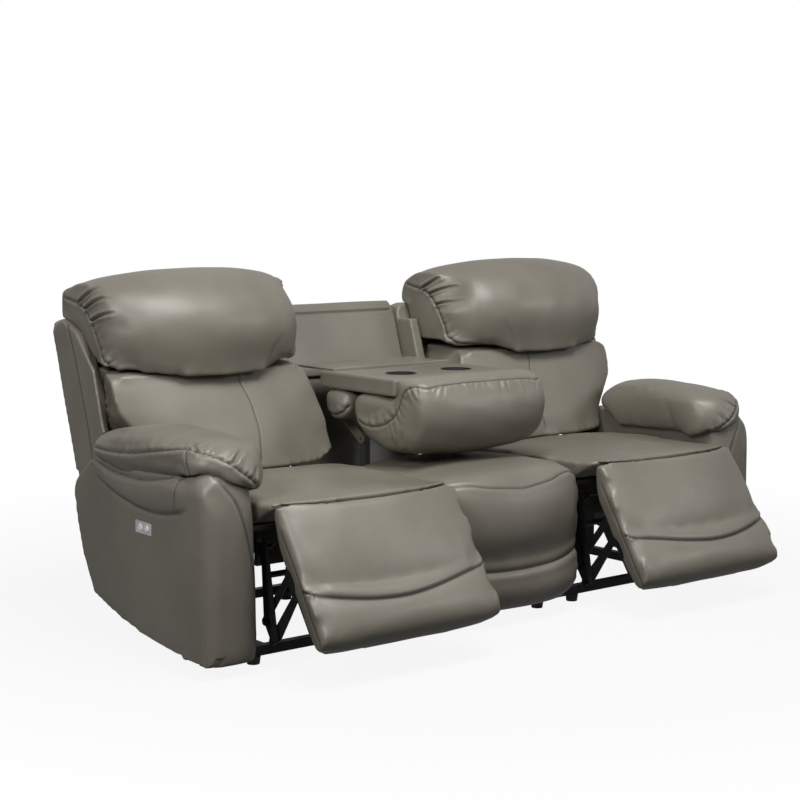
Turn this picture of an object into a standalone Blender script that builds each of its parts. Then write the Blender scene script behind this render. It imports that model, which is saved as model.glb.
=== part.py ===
# Power reclining sofa: two reclining end seats, a fixed centre seat and a fold-down console.
# Metres, X across, Y to the rear, Z up. The origin is on the floor under the middle of the sofa
# as it stands here: footrests part open, console down, backs upright.
# Depths (Y) are measured from the crease where the seats meet the backs.

import math

import bmesh
import bpy
import numpy as np
from mathutils import Matrix, Vector
from mathutils.geometry import convex_hull_2d

# Whole sofa
CREASE_SETBACK = 0.1592
SEAT_WIDTH = 0.622
CENTRE_HALF = 0.272
CENTRE_GAP = 0.0185
SEAT_OFFSET = CENTRE_HALF + CENTRE_GAP + SEAT_WIDTH / 2
ARM_GAP = 0.0038
ARM_WIDTH = 0.1637
TOUCH = 0.0003
FIT_GAP = 0.0008
OVERRUN = 0.01

# Steel base frame and feet
FOOT_HEIGHT = 0.022
FOOT_RADIUS = 0.021
FOOT_TAPER = 0.003
OUTER_FOOT_INSET = 0.0325
MIDDLE_FOOT_INSET = 0.0575
FEET_FROM_SEAT = (SEAT_WIDTH / 2 - OUTER_FOOT_INSET, MIDDLE_FOOT_INSET - SEAT_WIDTH / 2)
CENTRE_FOOT = 0.196
RAIL_HEIGHT = 0.028
RAIL_PAST_SEAT = 0.0175
REAR_RAIL_INSET = 0.0425
RAIL_WIDTH = 0.025
FRONT_RAIL_DEPTH = -0.3925
REAR_RAIL_DEPTH = 0.200
FRONT_RAIL_HALF = SEAT_OFFSET + SEAT_WIDTH / 2 + RAIL_PAST_SEAT
REAR_RAIL_HALF = SEAT_OFFSET + SEAT_WIDTH / 2 - REAR_RAIL_INSET
RAIL_TOP = FOOT_HEIGHT + RAIL_HEIGHT

# Footrest linkage, all links flat steel in layers outside the seat plates
PLATE = 0.004
LAYER_INSET = 0.067
LAYER_START = SEAT_WIDTH / 2 - LAYER_INSET
LAYER_PITCH = 0.0065
PIN_RADIUS = 0.005
PIN_PLAY = 0.0008
PIN_SEGMENTS = 8
PIN_HEAD = 0.001
LINK_RADIUS = 0.012
FRONT_PIVOT = (-0.410, 0.330)
GUIDE_OFFSET = (-0.0346, 0.020)
GUIDE_SHAFT_RADIUS = 0.006
FRONT_LINK_LENGTH = 0.262
FRONT_LINK_ANGLE = math.radians(10)
OUTER_LINK = (-0.121, 0.150)
BRACKET_SPACING = 0.060
FOOTREST_ANGLE = math.radians(34)
TUBE_RADIUS = 0.009
TORQUE_TUBE_REACH = 0.080

# Drive: crank on the torque tube, push rod with yoke, motor with guide tube
ROD_LEVEL_ANGLE = 45.5
CRANK_RADIUS = 0.050
CRANK_TRIM = math.radians(19.5)
CRANK_HALF_GAP = 0.009
CRANK_PIN_RADIUS = 0.004
YOKE_SLOT = 0.026
YOKE_WALL = 0.007
YOKE_PLAY = 0.0022
YOKE_THICKNESS = 0.008
ROD_RADIUS = 0.007
ROD_PLAY = 0.0005
ROD_LENGTH = 0.230
GUIDE_RADIUS = 0.012
GUIDE_LENGTH = 0.240
GUIDE_FRONT = -0.290
MOTOR_RADIUS = 0.030
MOTOR_LENGTH = 0.110
GEARBOX = (0.060, 0.080, 0.064)
SADDLE_WIDTH = 0.030

# Steel seat frame
SEAT_PLATE_TOP = 0.3347
SEAT_PLATE_HEIGHT = 0.033
SEAT_PLATE_REAR = 0.100
LEG_WIDTH = 0.040
LEG_INSET = 0.0005
LEG_DEPTHS = (-0.180, 0.030)
CROSS_TUBE_DEPTHS = (-0.140, 0.050)
CROSS_TUBE_RADIUS = 0.010
BACK_PIVOT = (0.085, 0.3175)

# Seat deck
DECK_INSET = 0.015
DECK_HALF = SEAT_WIDTH / 2 - DECK_INSET
DECK_FRONT = -0.420
DECK_REAR = 0.060
DECK_TOP = 0.395
DECK_THICKNESS = 0.015
RUNNER_WIDTH = 0.020
APRON_DEPTH = -0.335
APRON_THICKNESS = 0.015
APRON_BOTTOM = 0.262
APRON_INSET = 0.077
APRON_HALF = SEAT_WIDTH / 2 - APRON_INSET
ROD_OPENING = 0.020

# Seat cushion
CUSHION_TOP = 0.488
CUSHION_DROP = 0.020
CUSHION_REAR = 0.056
CUSHION_CREASE = 0.456
NOSE_RADIUS = 0.060
NOSE_CORNER_RADIUS = 0.024
NOSE_GAP = 0.0021

# Footrest pad and its steel frame, measured from the pad's turning line
PAD_LENGTH = 0.436
PAD_BACK = 0.066
PAD_CROWN = 0.060
PAD_ROLL = 0.044
PAD_SIDE_CROWN = 0.020
PANEL_THICKNESS = 0.010
PANEL_SHARES = (0.38, 0.90)
PANEL_INSET = 0.025
PANEL_HALF = SEAT_WIDTH / 2 - PANEL_INSET

# Back shell
BACK_PAST_SEAT = 0.0735
BACK_HALF = SEAT_WIDTH / 2 + BACK_PAST_SEAT
BACK_SIDE_SHIFT = 0.049
SHELL_TOP = 0.918
SHELL_BOTTOM = 0.300
SHELL_STEP = 0.470
SHELL_REAR = 0.316
SHELL_REAR_HEIGHT = 0.442
LEAN = 0.32
SHELL_THICKNESS = 0.052
SHELL_LOWER_INSET = 0.002
SHELL_LOWER_HALF = SEAT_WIDTH / 2 - SHELL_LOWER_INSET
OUTER_WING = 0.046
INNER_WING = 0.034
INNER_WING_DEPTH = 0.120
WING_STEP = 0.001
WING_TUCK = 0.012
BACK_BRACKET_GAP = 0.0025

# Lumbar cushion and head pillow
LUMBAR_BOTTOM = 0.466
LUMBAR_TOP = 0.790
LUMBAR_BULGE = 0.030
LUMBAR_FRONT = -0.006
PILLOW_HEIGHT = 0.278
PILLOW_DEPTH = 0.430
PILLOW_GAP = 0.003
PILLOW_FRONT = 0.018
PILLOW_INSET_INNER = 0.037
PILLOW_INSET_OUTER = 0.017
PILLOW_SAG = 0.052
LUMBAR_LOW_PAST_SEAT = 0.0185
LUMBAR_LOW_INNER = SEAT_WIDTH / 2 + LUMBAR_LOW_PAST_SEAT
LUMBAR_TOP_INSET = 0.0595
LUMBAR_TOP_INNER = SEAT_WIDTH / 2 - LUMBAR_TOP_INSET
LUMBAR_LOW_ARM_GAP = 0.0083
LUMBAR_STEP_SHARE = 0.26
LUMBAR_WIDEN_SHARE = 0.25
LUMBAR_ARM_GAP = 0.009

# Arms
ARM_FRONT = -0.443
ARM_DEPTH = 0.700
ARM_TOP = 0.536
ARM_FOOT = RAIL_TOP + TOUCH
ARM_ROUNDING = 0.020
ARM_ROLL_REAR = -0.360
ARM_ROLL_DEPTH = 0.140
ARM_ROLL_FOOT = 0.036
ARM_ROLL_TOP = 0.560
ARM_ROLL_SHIFT = (-0.0123, 0.0017)
ARM_ROLL_BULGE = 0.014
ARM_PAD_HEIGHT = 0.122
ARM_PAD_FRONT = -0.520
ARM_PAD_RETREAT = 0.075
ARM_PAD_REAR = 0.130
ARM_PAD_INNER_REAR = 0.028
ARM_PAD_OVERHANG_IN = 0.048
ARM_PAD_OVERHANG_OUT = 0.014

# Switch plate and buttons
SWITCH_DEPTH = -0.160
SWITCH_HEIGHT = 0.372
SWITCH_LENGTH = 0.090
SWITCH_WIDTH = 0.034
SWITCH_THICKNESS = 0.006
BUTTON_RADIUS = 0.010
BUTTON_PLAY = 0.0004
BUTTON_SPACING = 0.034
BUTTON_PROUD = 0.0025
BUTTON_BACK = 0.0024

# Centre seat
CENTRE_FRONT = -0.512
CENTRE_REAR = 0.018
CENTRE_TOP = 0.486
CENTRE_BOTTOM = 0.056
CENTRE_SEAT_UNDER = 0.330
CENTRE_PANEL = 0.092
CENTRE_CROWN = 0.062
FRAME_HALF = 0.225
BOARD = 0.020
FRAME_FRONT = -0.405
FRAME_REAR = 0.212
UPRIGHT_WIDTH = 0.040

# Centre back
CENTRE_BACK_INSET = 0.010
CENTRE_BACK_HALF = CENTRE_HALF - CENTRE_BACK_INSET
CENTRE_BACK_TOP = 0.928
CENTRE_BACK_BOTTOM = 0.300
CENTRE_BACK_THICKNESS = 0.031
CENTRE_BACK_LOW_GAP = 0.006
CENTRE_SKIRT_TOP = 0.384
RECESS_BOTTOM = 0.690
RECESS_THICKNESS = 0.015
RECESS_TOP_GAP = 0.012

# Console
CONSOLE_PIVOT = (0.050, 0.520)
CONSOLE_ARM_RADIUS = 0.016
CONSOLE_ARM_DEPTH = 0.172
CONSOLE_ELBOW = 0.605
CONSOLE_ARM_BLOCK = 0.030
CONSOLE_ARM_X = 0.160
TABLE_HALF = 0.250
TABLE_FRONT = -0.230
TABLE_REAR = 0.155
TABLE_TOP = 0.738
TABLE_THICKNESS = 0.054
TABLE_ROUNDING = 0.008
CUP_SPACING = 0.226
CUP_DEPTH_PLACE = -0.091
CUP_RADIUS = 0.045
CUP_WALL = 0.0015
CUP_LIP = 0.005
CUP_PLAY = 0.0004
CUP_FLOOR_GAP = 0.002
CUP_STEPS = 18
FLAP_FRONT = 0.095
FLAP_REAR = 0.300
FLAP_HALF = 0.240
FLAP_THICKNESS = 0.006
FLAP_EDGE = 0.003
PILLOW_ROLL_FRONT = -0.452
PILLOW_ROLL_REAR = -0.004
PILLOW_ROLL_BOTTOM = 0.493
PILLOW_ROLL_TOP = 0.752
PILLOW_ROLL_HALF = 0.258
REAR_ROLL_DEPTH = 0.140
REAR_ROLL_HEIGHT = 0.100
REAR_ROLL_GAP = 0.003

# Side outline of an arm as shares of its depth and height, from the front foot round the front
ARM_OUTLINE_SHARES = (
    (0.00, 0.00), (0.008, 0.23), (0.018, 0.56), (0.038, 0.88), (0.085, 0.985), (0.14, 1.00),
    (0.825, 1.00), (0.90, 0.93), (0.975, 0.845), (1.00, 0.78), (0.97, 0.58), (0.932, 0.41),
    (0.84, 0.175), (0.73, 0.12), (0.60, 0.065), (0.45, 0.035), (0.25, 0.012), (0.12, 0.00))
# Plan of the roll down the front of an arm, and its size at shares of its height
ARM_ROLL_PLAN_SHARES = ((0.03, 0.0), (0.0, 0.35), (0.02, 0.66), (0.12, 0.87), (0.30, 0.98), (0.52, 1.0),
                        (0.75, 0.97), (0.91, 0.86), (0.99, 0.66), (1.0, 0.35), (0.96, 0.0))
ARM_ROLL_STATIONS_SHARES = ((0.0, 0.90), (0.03, 0.98), (0.35, 1.0), (0.75, 0.99), (0.88, 0.93),
                            (0.96, 0.80), (1.0, 0.60))
# Side outline of the outer wing, as shares of the shell's height above the bottom of the wing
WING_FRONT_SHARES = ((0.0, 0.0), (0.165, -0.105), (0.34, -0.17), (0.71, -0.058), (0.945, 0.193))
WING_BOTTOM = 0.442
WING_FOOT = 0.226
WING_TOP_SHARES = ((1.004, 0.36), (0.965, 0.45))
# Sections of soft forms across their width: place as a share of the half width, size as a share
SOFT_STATIONS_SHARES = ((-1.0, 0.88), (-0.97, 0.98), (-0.55, 1.0), (0.0, 1.0),
                        (0.55, 1.0), (0.97, 0.98), (1.0, 0.88))
PLAIN_STATIONS_SHARES = ((-1.0, 0.88), (-0.97, 0.98), (-0.45, 1.0), (0.45, 1.0), (0.97, 0.98),
                         (1.0, 0.88))
# How a subdivision mixes a cage point with its two neighbours
SUBDIVISION_SHARES = (0.75, 0.125)

LEATHER = (0.205, 0.188, 0.160)
STEEL = (0.012, 0.012, 0.013)
TIMBER = (0.45, 0.32, 0.19)
DARK_CLOTH = (0.03, 0.029, 0.027)
SATIN_METAL = (0.42, 0.42, 0.43)
PLASTIC = (0.02, 0.02, 0.021)


def clear_scene():
    for item in list(bpy.data.objects):
        bpy.data.objects.remove(item, do_unlink=True)


def new_collection(name):
    collection = bpy.data.collections.new(name)
    bpy.context.scene.collection.children.link(collection)
    return collection


def new_material(name, colour, roughness, metallic):
    material = bpy.data.materials.new(name)
    material.use_nodes = True
    shader = material.node_tree.nodes["Principled BSDF"]
    shader.inputs["Base Color"].default_value = (*colour, 1)
    shader.inputs["Roughness"].default_value = roughness
    shader.inputs["Metallic"].default_value = metallic
    material.diffuse_color = (*colour, 1)
    return material


clear_scene()
parts = new_collection("power_reclining_sofa")
helpers = new_collection("cutters")
leather = new_material("leather", LEATHER, 0.42, 0.0)
steel = new_material("black_steel", STEEL, 0.45, 0.6)
timber = new_material("timber", TIMBER, 0.7, 0.0)
dark_cloth = new_material("dark_cloth", DARK_CLOTH, 0.9, 0.0)
satin_metal = new_material("satin_metal", SATIN_METAL, 0.35, 0.9)
plastic = new_material("black_plastic", PLASTIC, 0.5, 0.0)

datum = bpy.data.objects.new("seat_crease", None)
datum.location = (0, CREASE_SETBACK, 0)
parts.objects.link(datum)


# Meshes

def mesh_from(bm):
    bmesh.ops.recalc_face_normals(bm, faces=bm.faces)
    mesh = bpy.data.meshes.new("shape")
    bm.to_mesh(mesh)
    bm.free()
    return mesh


def box(low, high):
    bm = bmesh.new()
    size = Vector(high) - Vector(low)
    middle = (Vector(high) + Vector(low)) / 2
    scale = Matrix.Diagonal((size.x, size.y, size.z, 1))
    bmesh.ops.create_cube(bm, size=1, matrix=Matrix.Translation(middle) @ scale)
    return mesh_from(bm)


def cylinder(start, end, radius, end_radius=None, segments=12):
    bm = bmesh.new()
    start = Vector(start)
    run = Vector(end) - start
    turn = run.to_track_quat("Z", "Y").to_matrix().to_4x4()
    place = Matrix.Translation(start + run / 2) @ turn
    bmesh.ops.create_cone(bm, cap_ends=True, segments=segments, radius1=radius,
                          radius2=end_radius or radius, depth=run.length, matrix=place)
    return mesh_from(bm)


def flat_shape(outline, holes, thickness):
    # A flat outline with holes in local X and Y, centred on local Z
    curve = bpy.data.curves.new("outline", "CURVE")
    curve.dimensions = "2D"
    curve.fill_mode = "BOTH"
    curve.extrude = thickness / 2
    for loop in [outline] + holes:
        spline = curve.splines.new("POLY")
        spline.points.add(len(loop) - 1)
        for point, (a, b) in zip(spline.points, loop):
            point.co = (a, b, 0, 1)
        spline.use_cyclic_u = True
    carrier = bpy.data.objects.new("outline", curve)
    helpers.objects.link(carrier)
    view = bpy.context.evaluated_depsgraph_get()
    mesh = bpy.data.meshes.new_from_object(carrier.evaluated_get(view))
    bpy.data.objects.remove(carrier, do_unlink=True)
    bpy.data.curves.remove(curve)
    bm = bmesh.new()
    bm.from_mesh(mesh)
    bmesh.ops.remove_doubles(bm, verts=bm.verts, dist=0.00001)
    bpy.data.meshes.remove(mesh)
    return mesh_from(bm)


# Local X, Y, Z of a side plate are the sofa's Y, Z, X
SIDE_PLANE = Matrix(((0, 0, 1, 0), (1, 0, 0, 0), (0, 1, 0, 0), (0, 0, 0, 1)))


def side_plate(outline, holes, x_low, x_high):
    mesh = flat_shape(outline, holes, x_high - x_low)
    mesh.transform(Matrix.Translation(((x_low + x_high) / 2, 0, 0)) @ SIDE_PLANE)
    return mesh


def circle(centre, radius, segments=10):
    points = []
    for index in range(segments):
        angle = 2 * math.pi * (index + 0.5) / segments
        points.append((centre[0] + radius * math.cos(angle), centre[1] + radius * math.sin(angle)))
    return points


def link_outline(pivots, radius):
    points = [point for pivot in pivots for point in circle(pivot, radius)]
    return [points[index] for index in convex_hull_2d(points)]


def lofted(rings):
    # A closed skin over rings of equal count, capped at both ends
    bm = bmesh.new()
    loops = [[bm.verts.new(point) for point in ring] for ring in rings]
    bm.faces.new(loops[0])
    bm.faces.new(loops[-1])
    for near, far in zip(loops, loops[1:]):
        for index in range(len(near)):
            after = (index + 1) % len(near)
            bm.faces.new((near[index], near[after], far[after], far[index]))
    return mesh_from(bm)


def cage_around(profile):
    # The cage whose first subdivision passes through the points of the outline
    count = len(profile)
    own, beside = SUBDIVISION_SHARES
    same = np.eye(count)
    mix = own * same + beside * (np.roll(same, 1, 0) + np.roll(same, -1, 0))
    return np.linalg.solve(mix, np.array(profile))


def soft_sections(profile_at, across, stations=SOFT_STATIONS_SHARES):
    # profile_at gives the side outline at a share of the half width; the ends are drawn in
    # across gives the X of a share of the half width at a height
    rings = []
    for place, size in stations:
        profile = cage_around(profile_at(place))
        middle = profile.mean(axis=0)
        ring = middle + (profile - middle) * size
        rings.append([(across(place, z), y, z) for y, z in ring])
    return lofted(rings)


def even(middle, half_width):
    return lambda place, height: middle + place * half_width


def swollen(mesh, distance):
    # The same body with its faces moved outwards
    bm = bmesh.new()
    bm.from_mesh(mesh)
    bmesh.ops.recalc_face_normals(bm, faces=bm.faces)
    bm.normal_update()
    moves = [vert.normal * (distance * vert.calc_shell_factor()) for vert in bm.verts]
    for vert, move in zip(bm.verts, moves):
        vert.co += move
    return mesh_from(bm)


def combined(mesh, others, operation):
    # Boolean of one mesh with others in turn
    body = bpy.data.objects.new("body", mesh)
    helpers.objects.link(body)
    tools = []
    for other in others:
        tool = bpy.data.objects.new("tool", other)
        tool.hide_render = True
        tool.display_type = "WIRE"
        helpers.objects.link(tool)
        modifier = body.modifiers.new("combine", "BOOLEAN")
        modifier.operation = operation
        modifier.solver = "EXACT"
        modifier.object = tool
        tools.append(tool)
    view = bpy.context.evaluated_depsgraph_get()
    result = bpy.data.meshes.new_from_object(body.evaluated_get(view))
    for item in [body] + tools:
        bpy.data.objects.remove(item, do_unlink=True)
    return result


def united(mesh, *others):
    return combined(mesh, others, "UNION")


def cut(mesh, *others):
    return combined(mesh, others, "DIFFERENCE")


def rounded(mesh, width, segments):
    # The same body with its corners rounded
    body = bpy.data.objects.new("body", mesh)
    helpers.objects.link(body)
    add_bevel(body, width, segments)
    view = bpy.context.evaluated_depsgraph_get()
    result = bpy.data.meshes.new_from_object(body.evaluated_get(view))
    bpy.data.objects.remove(body, do_unlink=True)
    return result


def mirrored(mesh):
    mesh.transform(Matrix.Diagonal((-1, 1, 1, 1)))
    mesh.flip_normals()
    return mesh


def add_part(name, mesh, material, pivot=(0, 0, 0), smooth=False):
    mesh.transform(Matrix.Translation(-Vector(pivot)))
    mesh.materials.clear()
    mesh.materials.append(material)
    item = bpy.data.objects.new(name, mesh)
    mesh.name = name
    parts.objects.link(item)
    item.parent = datum
    item.location = pivot
    if smooth:
        mesh.shade_smooth()
    else:
        mesh.shade_smooth()
        mesh.set_sharp_from_angle(angle=math.radians(35))
    return item


def add_subdivision(item):
    modifier = item.modifiers.new("soft", "SUBSURF")
    modifier.levels = 1
    modifier.render_levels = 1


def fit_against(item, mesh, gap=FIT_GAP):
    # Cuts a soft form where a firm neighbour stands, with a small gap
    tool = bpy.data.objects.new(item.name + "_fit", swollen(mesh, gap) if gap else mesh)
    helpers.objects.link(tool)
    tool.parent = datum
    tool.hide_render = True
    tool.display_type = "WIRE"
    modifier = item.modifiers.new("fit", "BOOLEAN")
    modifier.operation = "DIFFERENCE"
    modifier.solver = "EXACT"
    modifier.object = tool


def add_bevel(item, width, segments):
    modifier = item.modifiers.new("rounding", "BEVEL")
    modifier.width = width
    modifier.segments = segments
    modifier.limit_method = "ANGLE"
    modifier.angle_limit = math.radians(50)


def side_name(side):
    return "left" if side < 0 else "right"


# Footrest geometry in the side plane. An angle is measured from straight down, forwards.

def down(angle):
    return Vector((-math.sin(angle), -math.cos(angle)))


def behind(angle):
    return Vector((math.cos(angle), -math.sin(angle)))


front_pivot = Vector(FRONT_PIVOT)
guide_pivot = front_pivot + Vector(GUIDE_OFFSET)
knee = front_pivot + FRONT_LINK_LENGTH * down(FRONT_LINK_ANGLE)
guide_knee = knee + Vector(GUIDE_OFFSET)
turning_line = front_pivot + Vector(OUTER_LINK)
bracket_low = knee + Vector(OUTER_LINK)
bracket_run = -BRACKET_SPACING * down(FOOTREST_ANGLE)
bracket_high = bracket_low + bracket_run
link_tab = knee + bracket_run
torque_tube = front_pivot + TORQUE_TUBE_REACH * down(FRONT_LINK_ANGLE)
crank_pin = front_pivot + CRANK_RADIUS * down(FRONT_LINK_ANGLE - CRANK_TRIM)
rod_height = front_pivot.y - CRANK_RADIUS * (1 + math.cos(math.radians(ROD_LEVEL_ANGLE))) / 2


def layer(index):
    start = LAYER_START + index * LAYER_PITCH
    return start, start + PLATE


def at_x(x, point):
    return (x, point[0], point[1])


def pin(x_start, x_end, point, radius=PIN_RADIUS):
    return cylinder(at_x(x_start, point), at_x(x_end, point), radius, segments=PIN_SEGMENTS)


def hole(point, radius=PIN_RADIUS + PIN_PLAY):
    return circle(point, radius, PIN_SEGMENTS)


def pin_through(inner, outer, point):
    # A pin fixed in one layer that passes the outer one and stands a head beyond it
    return pin(layer(inner)[0] + PLATE / 2, layer(outer)[1] + PIN_HEAD, point)


def in_seat(mesh, side, sign=1):
    # Moves a mesh modelled about a seat's centre line to that seat
    if sign < 0:
        mirrored(mesh)
    mesh.transform(Matrix.Translation((side * SEAT_OFFSET, 0, 0)))
    return mesh


def both_sides(mesh):
    return mesh, mirrored(mesh.copy())


# Base

def make_base_frame():
    def rail(low_x, high_x, low_y, high_y):
        return box((low_x, low_y, FOOT_HEIGHT), (high_x, high_y, RAIL_TOP))

    half = RAIL_WIDTH / 2
    pieces = [rail(-REAR_RAIL_HALF, REAR_RAIL_HALF, REAR_RAIL_DEPTH - half, REAR_RAIL_DEPTH + half)]
    track = layer(0)[0] + PLATE / 2
    for side in (-1, 1):
        for sign in (-1, 1):
            x = side * SEAT_OFFSET + sign * track
            pieces.append(rail(x - half, x + half, FRONT_RAIL_DEPTH, REAR_RAIL_DEPTH))
            pieces.append(cylinder((x, REAR_RAIL_DEPTH, 0), (x, REAR_RAIL_DEPTH, FOOT_HEIGHT + OVERRUN),
                                   FOOT_RADIUS - FOOT_TAPER, FOOT_RADIUS - FOOT_TAPER))
    front = rail(-FRONT_RAIL_HALF, FRONT_RAIL_HALF, FRONT_RAIL_DEPTH - half, FRONT_RAIL_DEPTH + half)
    add_part("base_frame", united(front, *pieces), steel)


def make_front_feet():
    names = ("outer", "middle", "inner")
    for side in (-1, 1):
        places = [SEAT_OFFSET + shift for shift in FEET_FROM_SEAT] + [CENTRE_FOOT]
        for name, place in zip(names, places):
            x = side * place
            foot = cylinder((x, FRONT_RAIL_DEPTH, 0), (x, FRONT_RAIL_DEPTH, FOOT_HEIGHT - TOUCH),
                            FOOT_RADIUS - FOOT_TAPER, FOOT_RADIUS)
            add_part(f"{side_name(side)}_{name}_foot", foot, plastic)


# Reclining seat

def make_seat_frame(side):
    bottom = SEAT_PLATE_TOP - SEAT_PLATE_HEIGHT
    half = LEG_WIDTH / 2
    low, high = layer(0)
    plate = box((low, front_pivot.x - LINK_RADIUS, bottom), (high, SEAT_PLATE_REAR, SEAT_PLATE_TOP))
    legs = [box((low + LEG_INSET, depth - half, RAIL_TOP + TOUCH),
                (high - LEG_INSET, depth + half, bottom + OVERRUN)) for depth in LEG_DEPTHS]
    ear = side_plate(link_outline([front_pivot, guide_pivot], LINK_RADIUS), [], low, high)
    plate = cut(united(plate, ear), pin(low - OVERRUN, high + OVERRUN, guide_pivot, shaft_hole()))
    studs = (pin_through(0, 1, front_pivot),
             pin(low - BACK_BRACKET_GAP - PLATE - PIN_HEAD, low + PLATE / 2, BACK_PIVOT))
    one_side = united(plate, *legs, *studs)
    near, far = both_sides(one_side)
    tubes = []
    for depth in CROSS_TUBE_DEPTHS:
        height = SEAT_PLATE_TOP - SEAT_PLATE_HEIGHT / 2
        tubes.append(cylinder((-low - PLATE / 2, depth, height), (low + PLATE / 2, depth, height),
                              CROSS_TUBE_RADIUS))
    frame = in_seat(united(near, far, *tubes), side)
    add_part(f"{side_name(side)}_seat_frame", frame, steel)


def make_seat_deck(side):
    top = (DECK_HALF, DECK_REAR, DECK_TOP)
    deck = box((-DECK_HALF, DECK_FRONT, DECK_TOP - DECK_THICKNESS), top)
    middle = layer(0)[0] + PLATE / 2
    runner = box((middle - RUNNER_WIDTH / 2, APRON_DEPTH, SEAT_PLATE_TOP + TOUCH),
                 (middle + RUNNER_WIDTH / 2, DECK_REAR, DECK_TOP - DECK_THICKNESS / 2))
    near, far = both_sides(runner)
    apron = box((-APRON_HALF, APRON_DEPTH - APRON_THICKNESS, APRON_BOTTOM),
                (APRON_HALF, APRON_DEPTH, DECK_TOP - DECK_THICKNESS / 2))
    opening = box((-ROD_OPENING, APRON_DEPTH - APRON_THICKNESS - OVERRUN, APRON_BOTTOM - OVERRUN),
                  (ROD_OPENING, APRON_DEPTH + OVERRUN, rod_height + ROD_OPENING))
    deck = cut(united(deck, near, far, apron), opening)
    add_part(f"{side_name(side)}_seat_deck", in_seat(deck, side), dark_cloth)


def nose_radius(place):
    return NOSE_CORNER_RADIUS + (NOSE_RADIUS - NOSE_CORNER_RADIUS) * (1 - place ** 4)


def around_nose(radius, degrees):
    # A point about the pad's turning line, at an angle below straight forwards
    angle = math.radians(90 - degrees)
    return tuple(turning_line + radius * down(angle))


def seat_profile(place):
    radius = nose_radius(place)
    top = CUSHION_TOP - CUSHION_DROP * place ** 2
    length = CUSHION_REAR - turning_line.x
    flat = DECK_TOP + TOUCH
    return [around_nose(radius, 88), around_nose(radius, 45), around_nose(radius, 2),
            (turning_line.x + 0.02 * length, top - 0.2 * CUSHION_DROP),
            (turning_line.x + 0.33 * length, top),
            (turning_line.x + 0.68 * length, top - 0.1 * CUSHION_DROP),
            (turning_line.x + 0.90 * length, CUSHION_CREASE + 0.3 * (top - CUSHION_CREASE)),
            (CUSHION_REAR, CUSHION_CREASE - 0.3 * (CUSHION_CREASE - flat)),
            (CUSHION_REAR - 0.02 * length, flat),
            (turning_line.x + 0.55 * length, flat),
            (DECK_FRONT, flat), (DECK_FRONT - 0.08 * length, flat + CUSHION_DROP)]


def make_seat_cushion(side):
    mesh = soft_sections(seat_profile, even(0, SEAT_WIDTH / 2), PLAIN_STATIONS_SHARES)
    item = add_part(f"{side_name(side)}_seat_cushion", in_seat(mesh, side), leather, smooth=True)
    add_subdivision(item)
    half = SEAT_WIDTH / 2 + OVERRUN
    below = box((-half, DECK_FRONT, DECK_TOP - DECK_THICKNESS), (half, CUSHION_REAR + OVERRUN,
                                                                 DECK_TOP + TOUCH))
    fit_against(item, in_seat(below, side), 0)


# Footrest

def pad_point(along, back):
    return turning_line + along * down(FOOTREST_ANGLE) + back * behind(FOOTREST_ANGLE)


def pad_profile(place):
    crown = 1 - place ** 2
    radius = nose_radius(place) + NOSE_GAP
    front = -PAD_SIDE_CROWN - (PAD_CROWN - PAD_SIDE_CROWN) * crown
    roll = -PAD_SIDE_CROWN - (PAD_ROLL - PAD_SIDE_CROWN) * crown
    tuck = PAD_LENGTH * (0.58 + 0.08 * crown)
    outline = [(radius * 0.70, -radius * 0.80), (PAD_LENGTH * 0.24, front), (PAD_LENGTH * 0.42, front),
               (tuck - 0.04 * PAD_LENGTH, front * 0.62), (tuck, roll * 0.30),
               (tuck + 0.06 * PAD_LENGTH, roll * 0.86),
               (PAD_LENGTH * 0.88, roll), (PAD_LENGTH, roll * 0.3), (PAD_LENGTH, PAD_BACK * 0.7),
               (PAD_LENGTH * 0.94, PAD_BACK), (PAD_LENGTH * 0.55, PAD_BACK),
               (PAD_LENGTH * 0.24, PAD_BACK), (radius * 1.12, PAD_BACK * 0.42)]
    return [tuple(pad_point(along, back)) for along, back in outline]


def nose_clearance():
    # The space the front edge of the seat needs when the pad turns around it
    rings = []
    for place, size in SOFT_STATIONS_SHARES:
        ring = circle(turning_line, nose_radius(place) + NOSE_GAP, CUP_STEPS)
        rings.append([at_x(place * (SEAT_WIDTH / 2 + OVERRUN), point) for point in ring])
    return lofted(rings)


def make_footrest_pad(side):
    mesh = soft_sections(pad_profile, even(0, SEAT_WIDTH / 2))
    item = add_part(f"{side_name(side)}_footrest_pad", in_seat(mesh, side), leather,
                    pivot=(side * SEAT_OFFSET, turning_line.x, turning_line.y), smooth=True)
    add_subdivision(item)
    fit_against(item, in_seat(nose_clearance(), side), 0)
    corners = [pad_point(share * PAD_LENGTH, back) for share, back in (
        (0, PAD_BACK), (1.1, PAD_BACK), (1.1, 2 * PAD_BACK), (0, 2 * PAD_BACK))]
    half = SEAT_WIDTH / 2 + OVERRUN
    behind_pad = side_plate([tuple(corner) for corner in corners], [], -half, half)
    fit_against(item, in_seat(behind_pad, side), 0)


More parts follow.
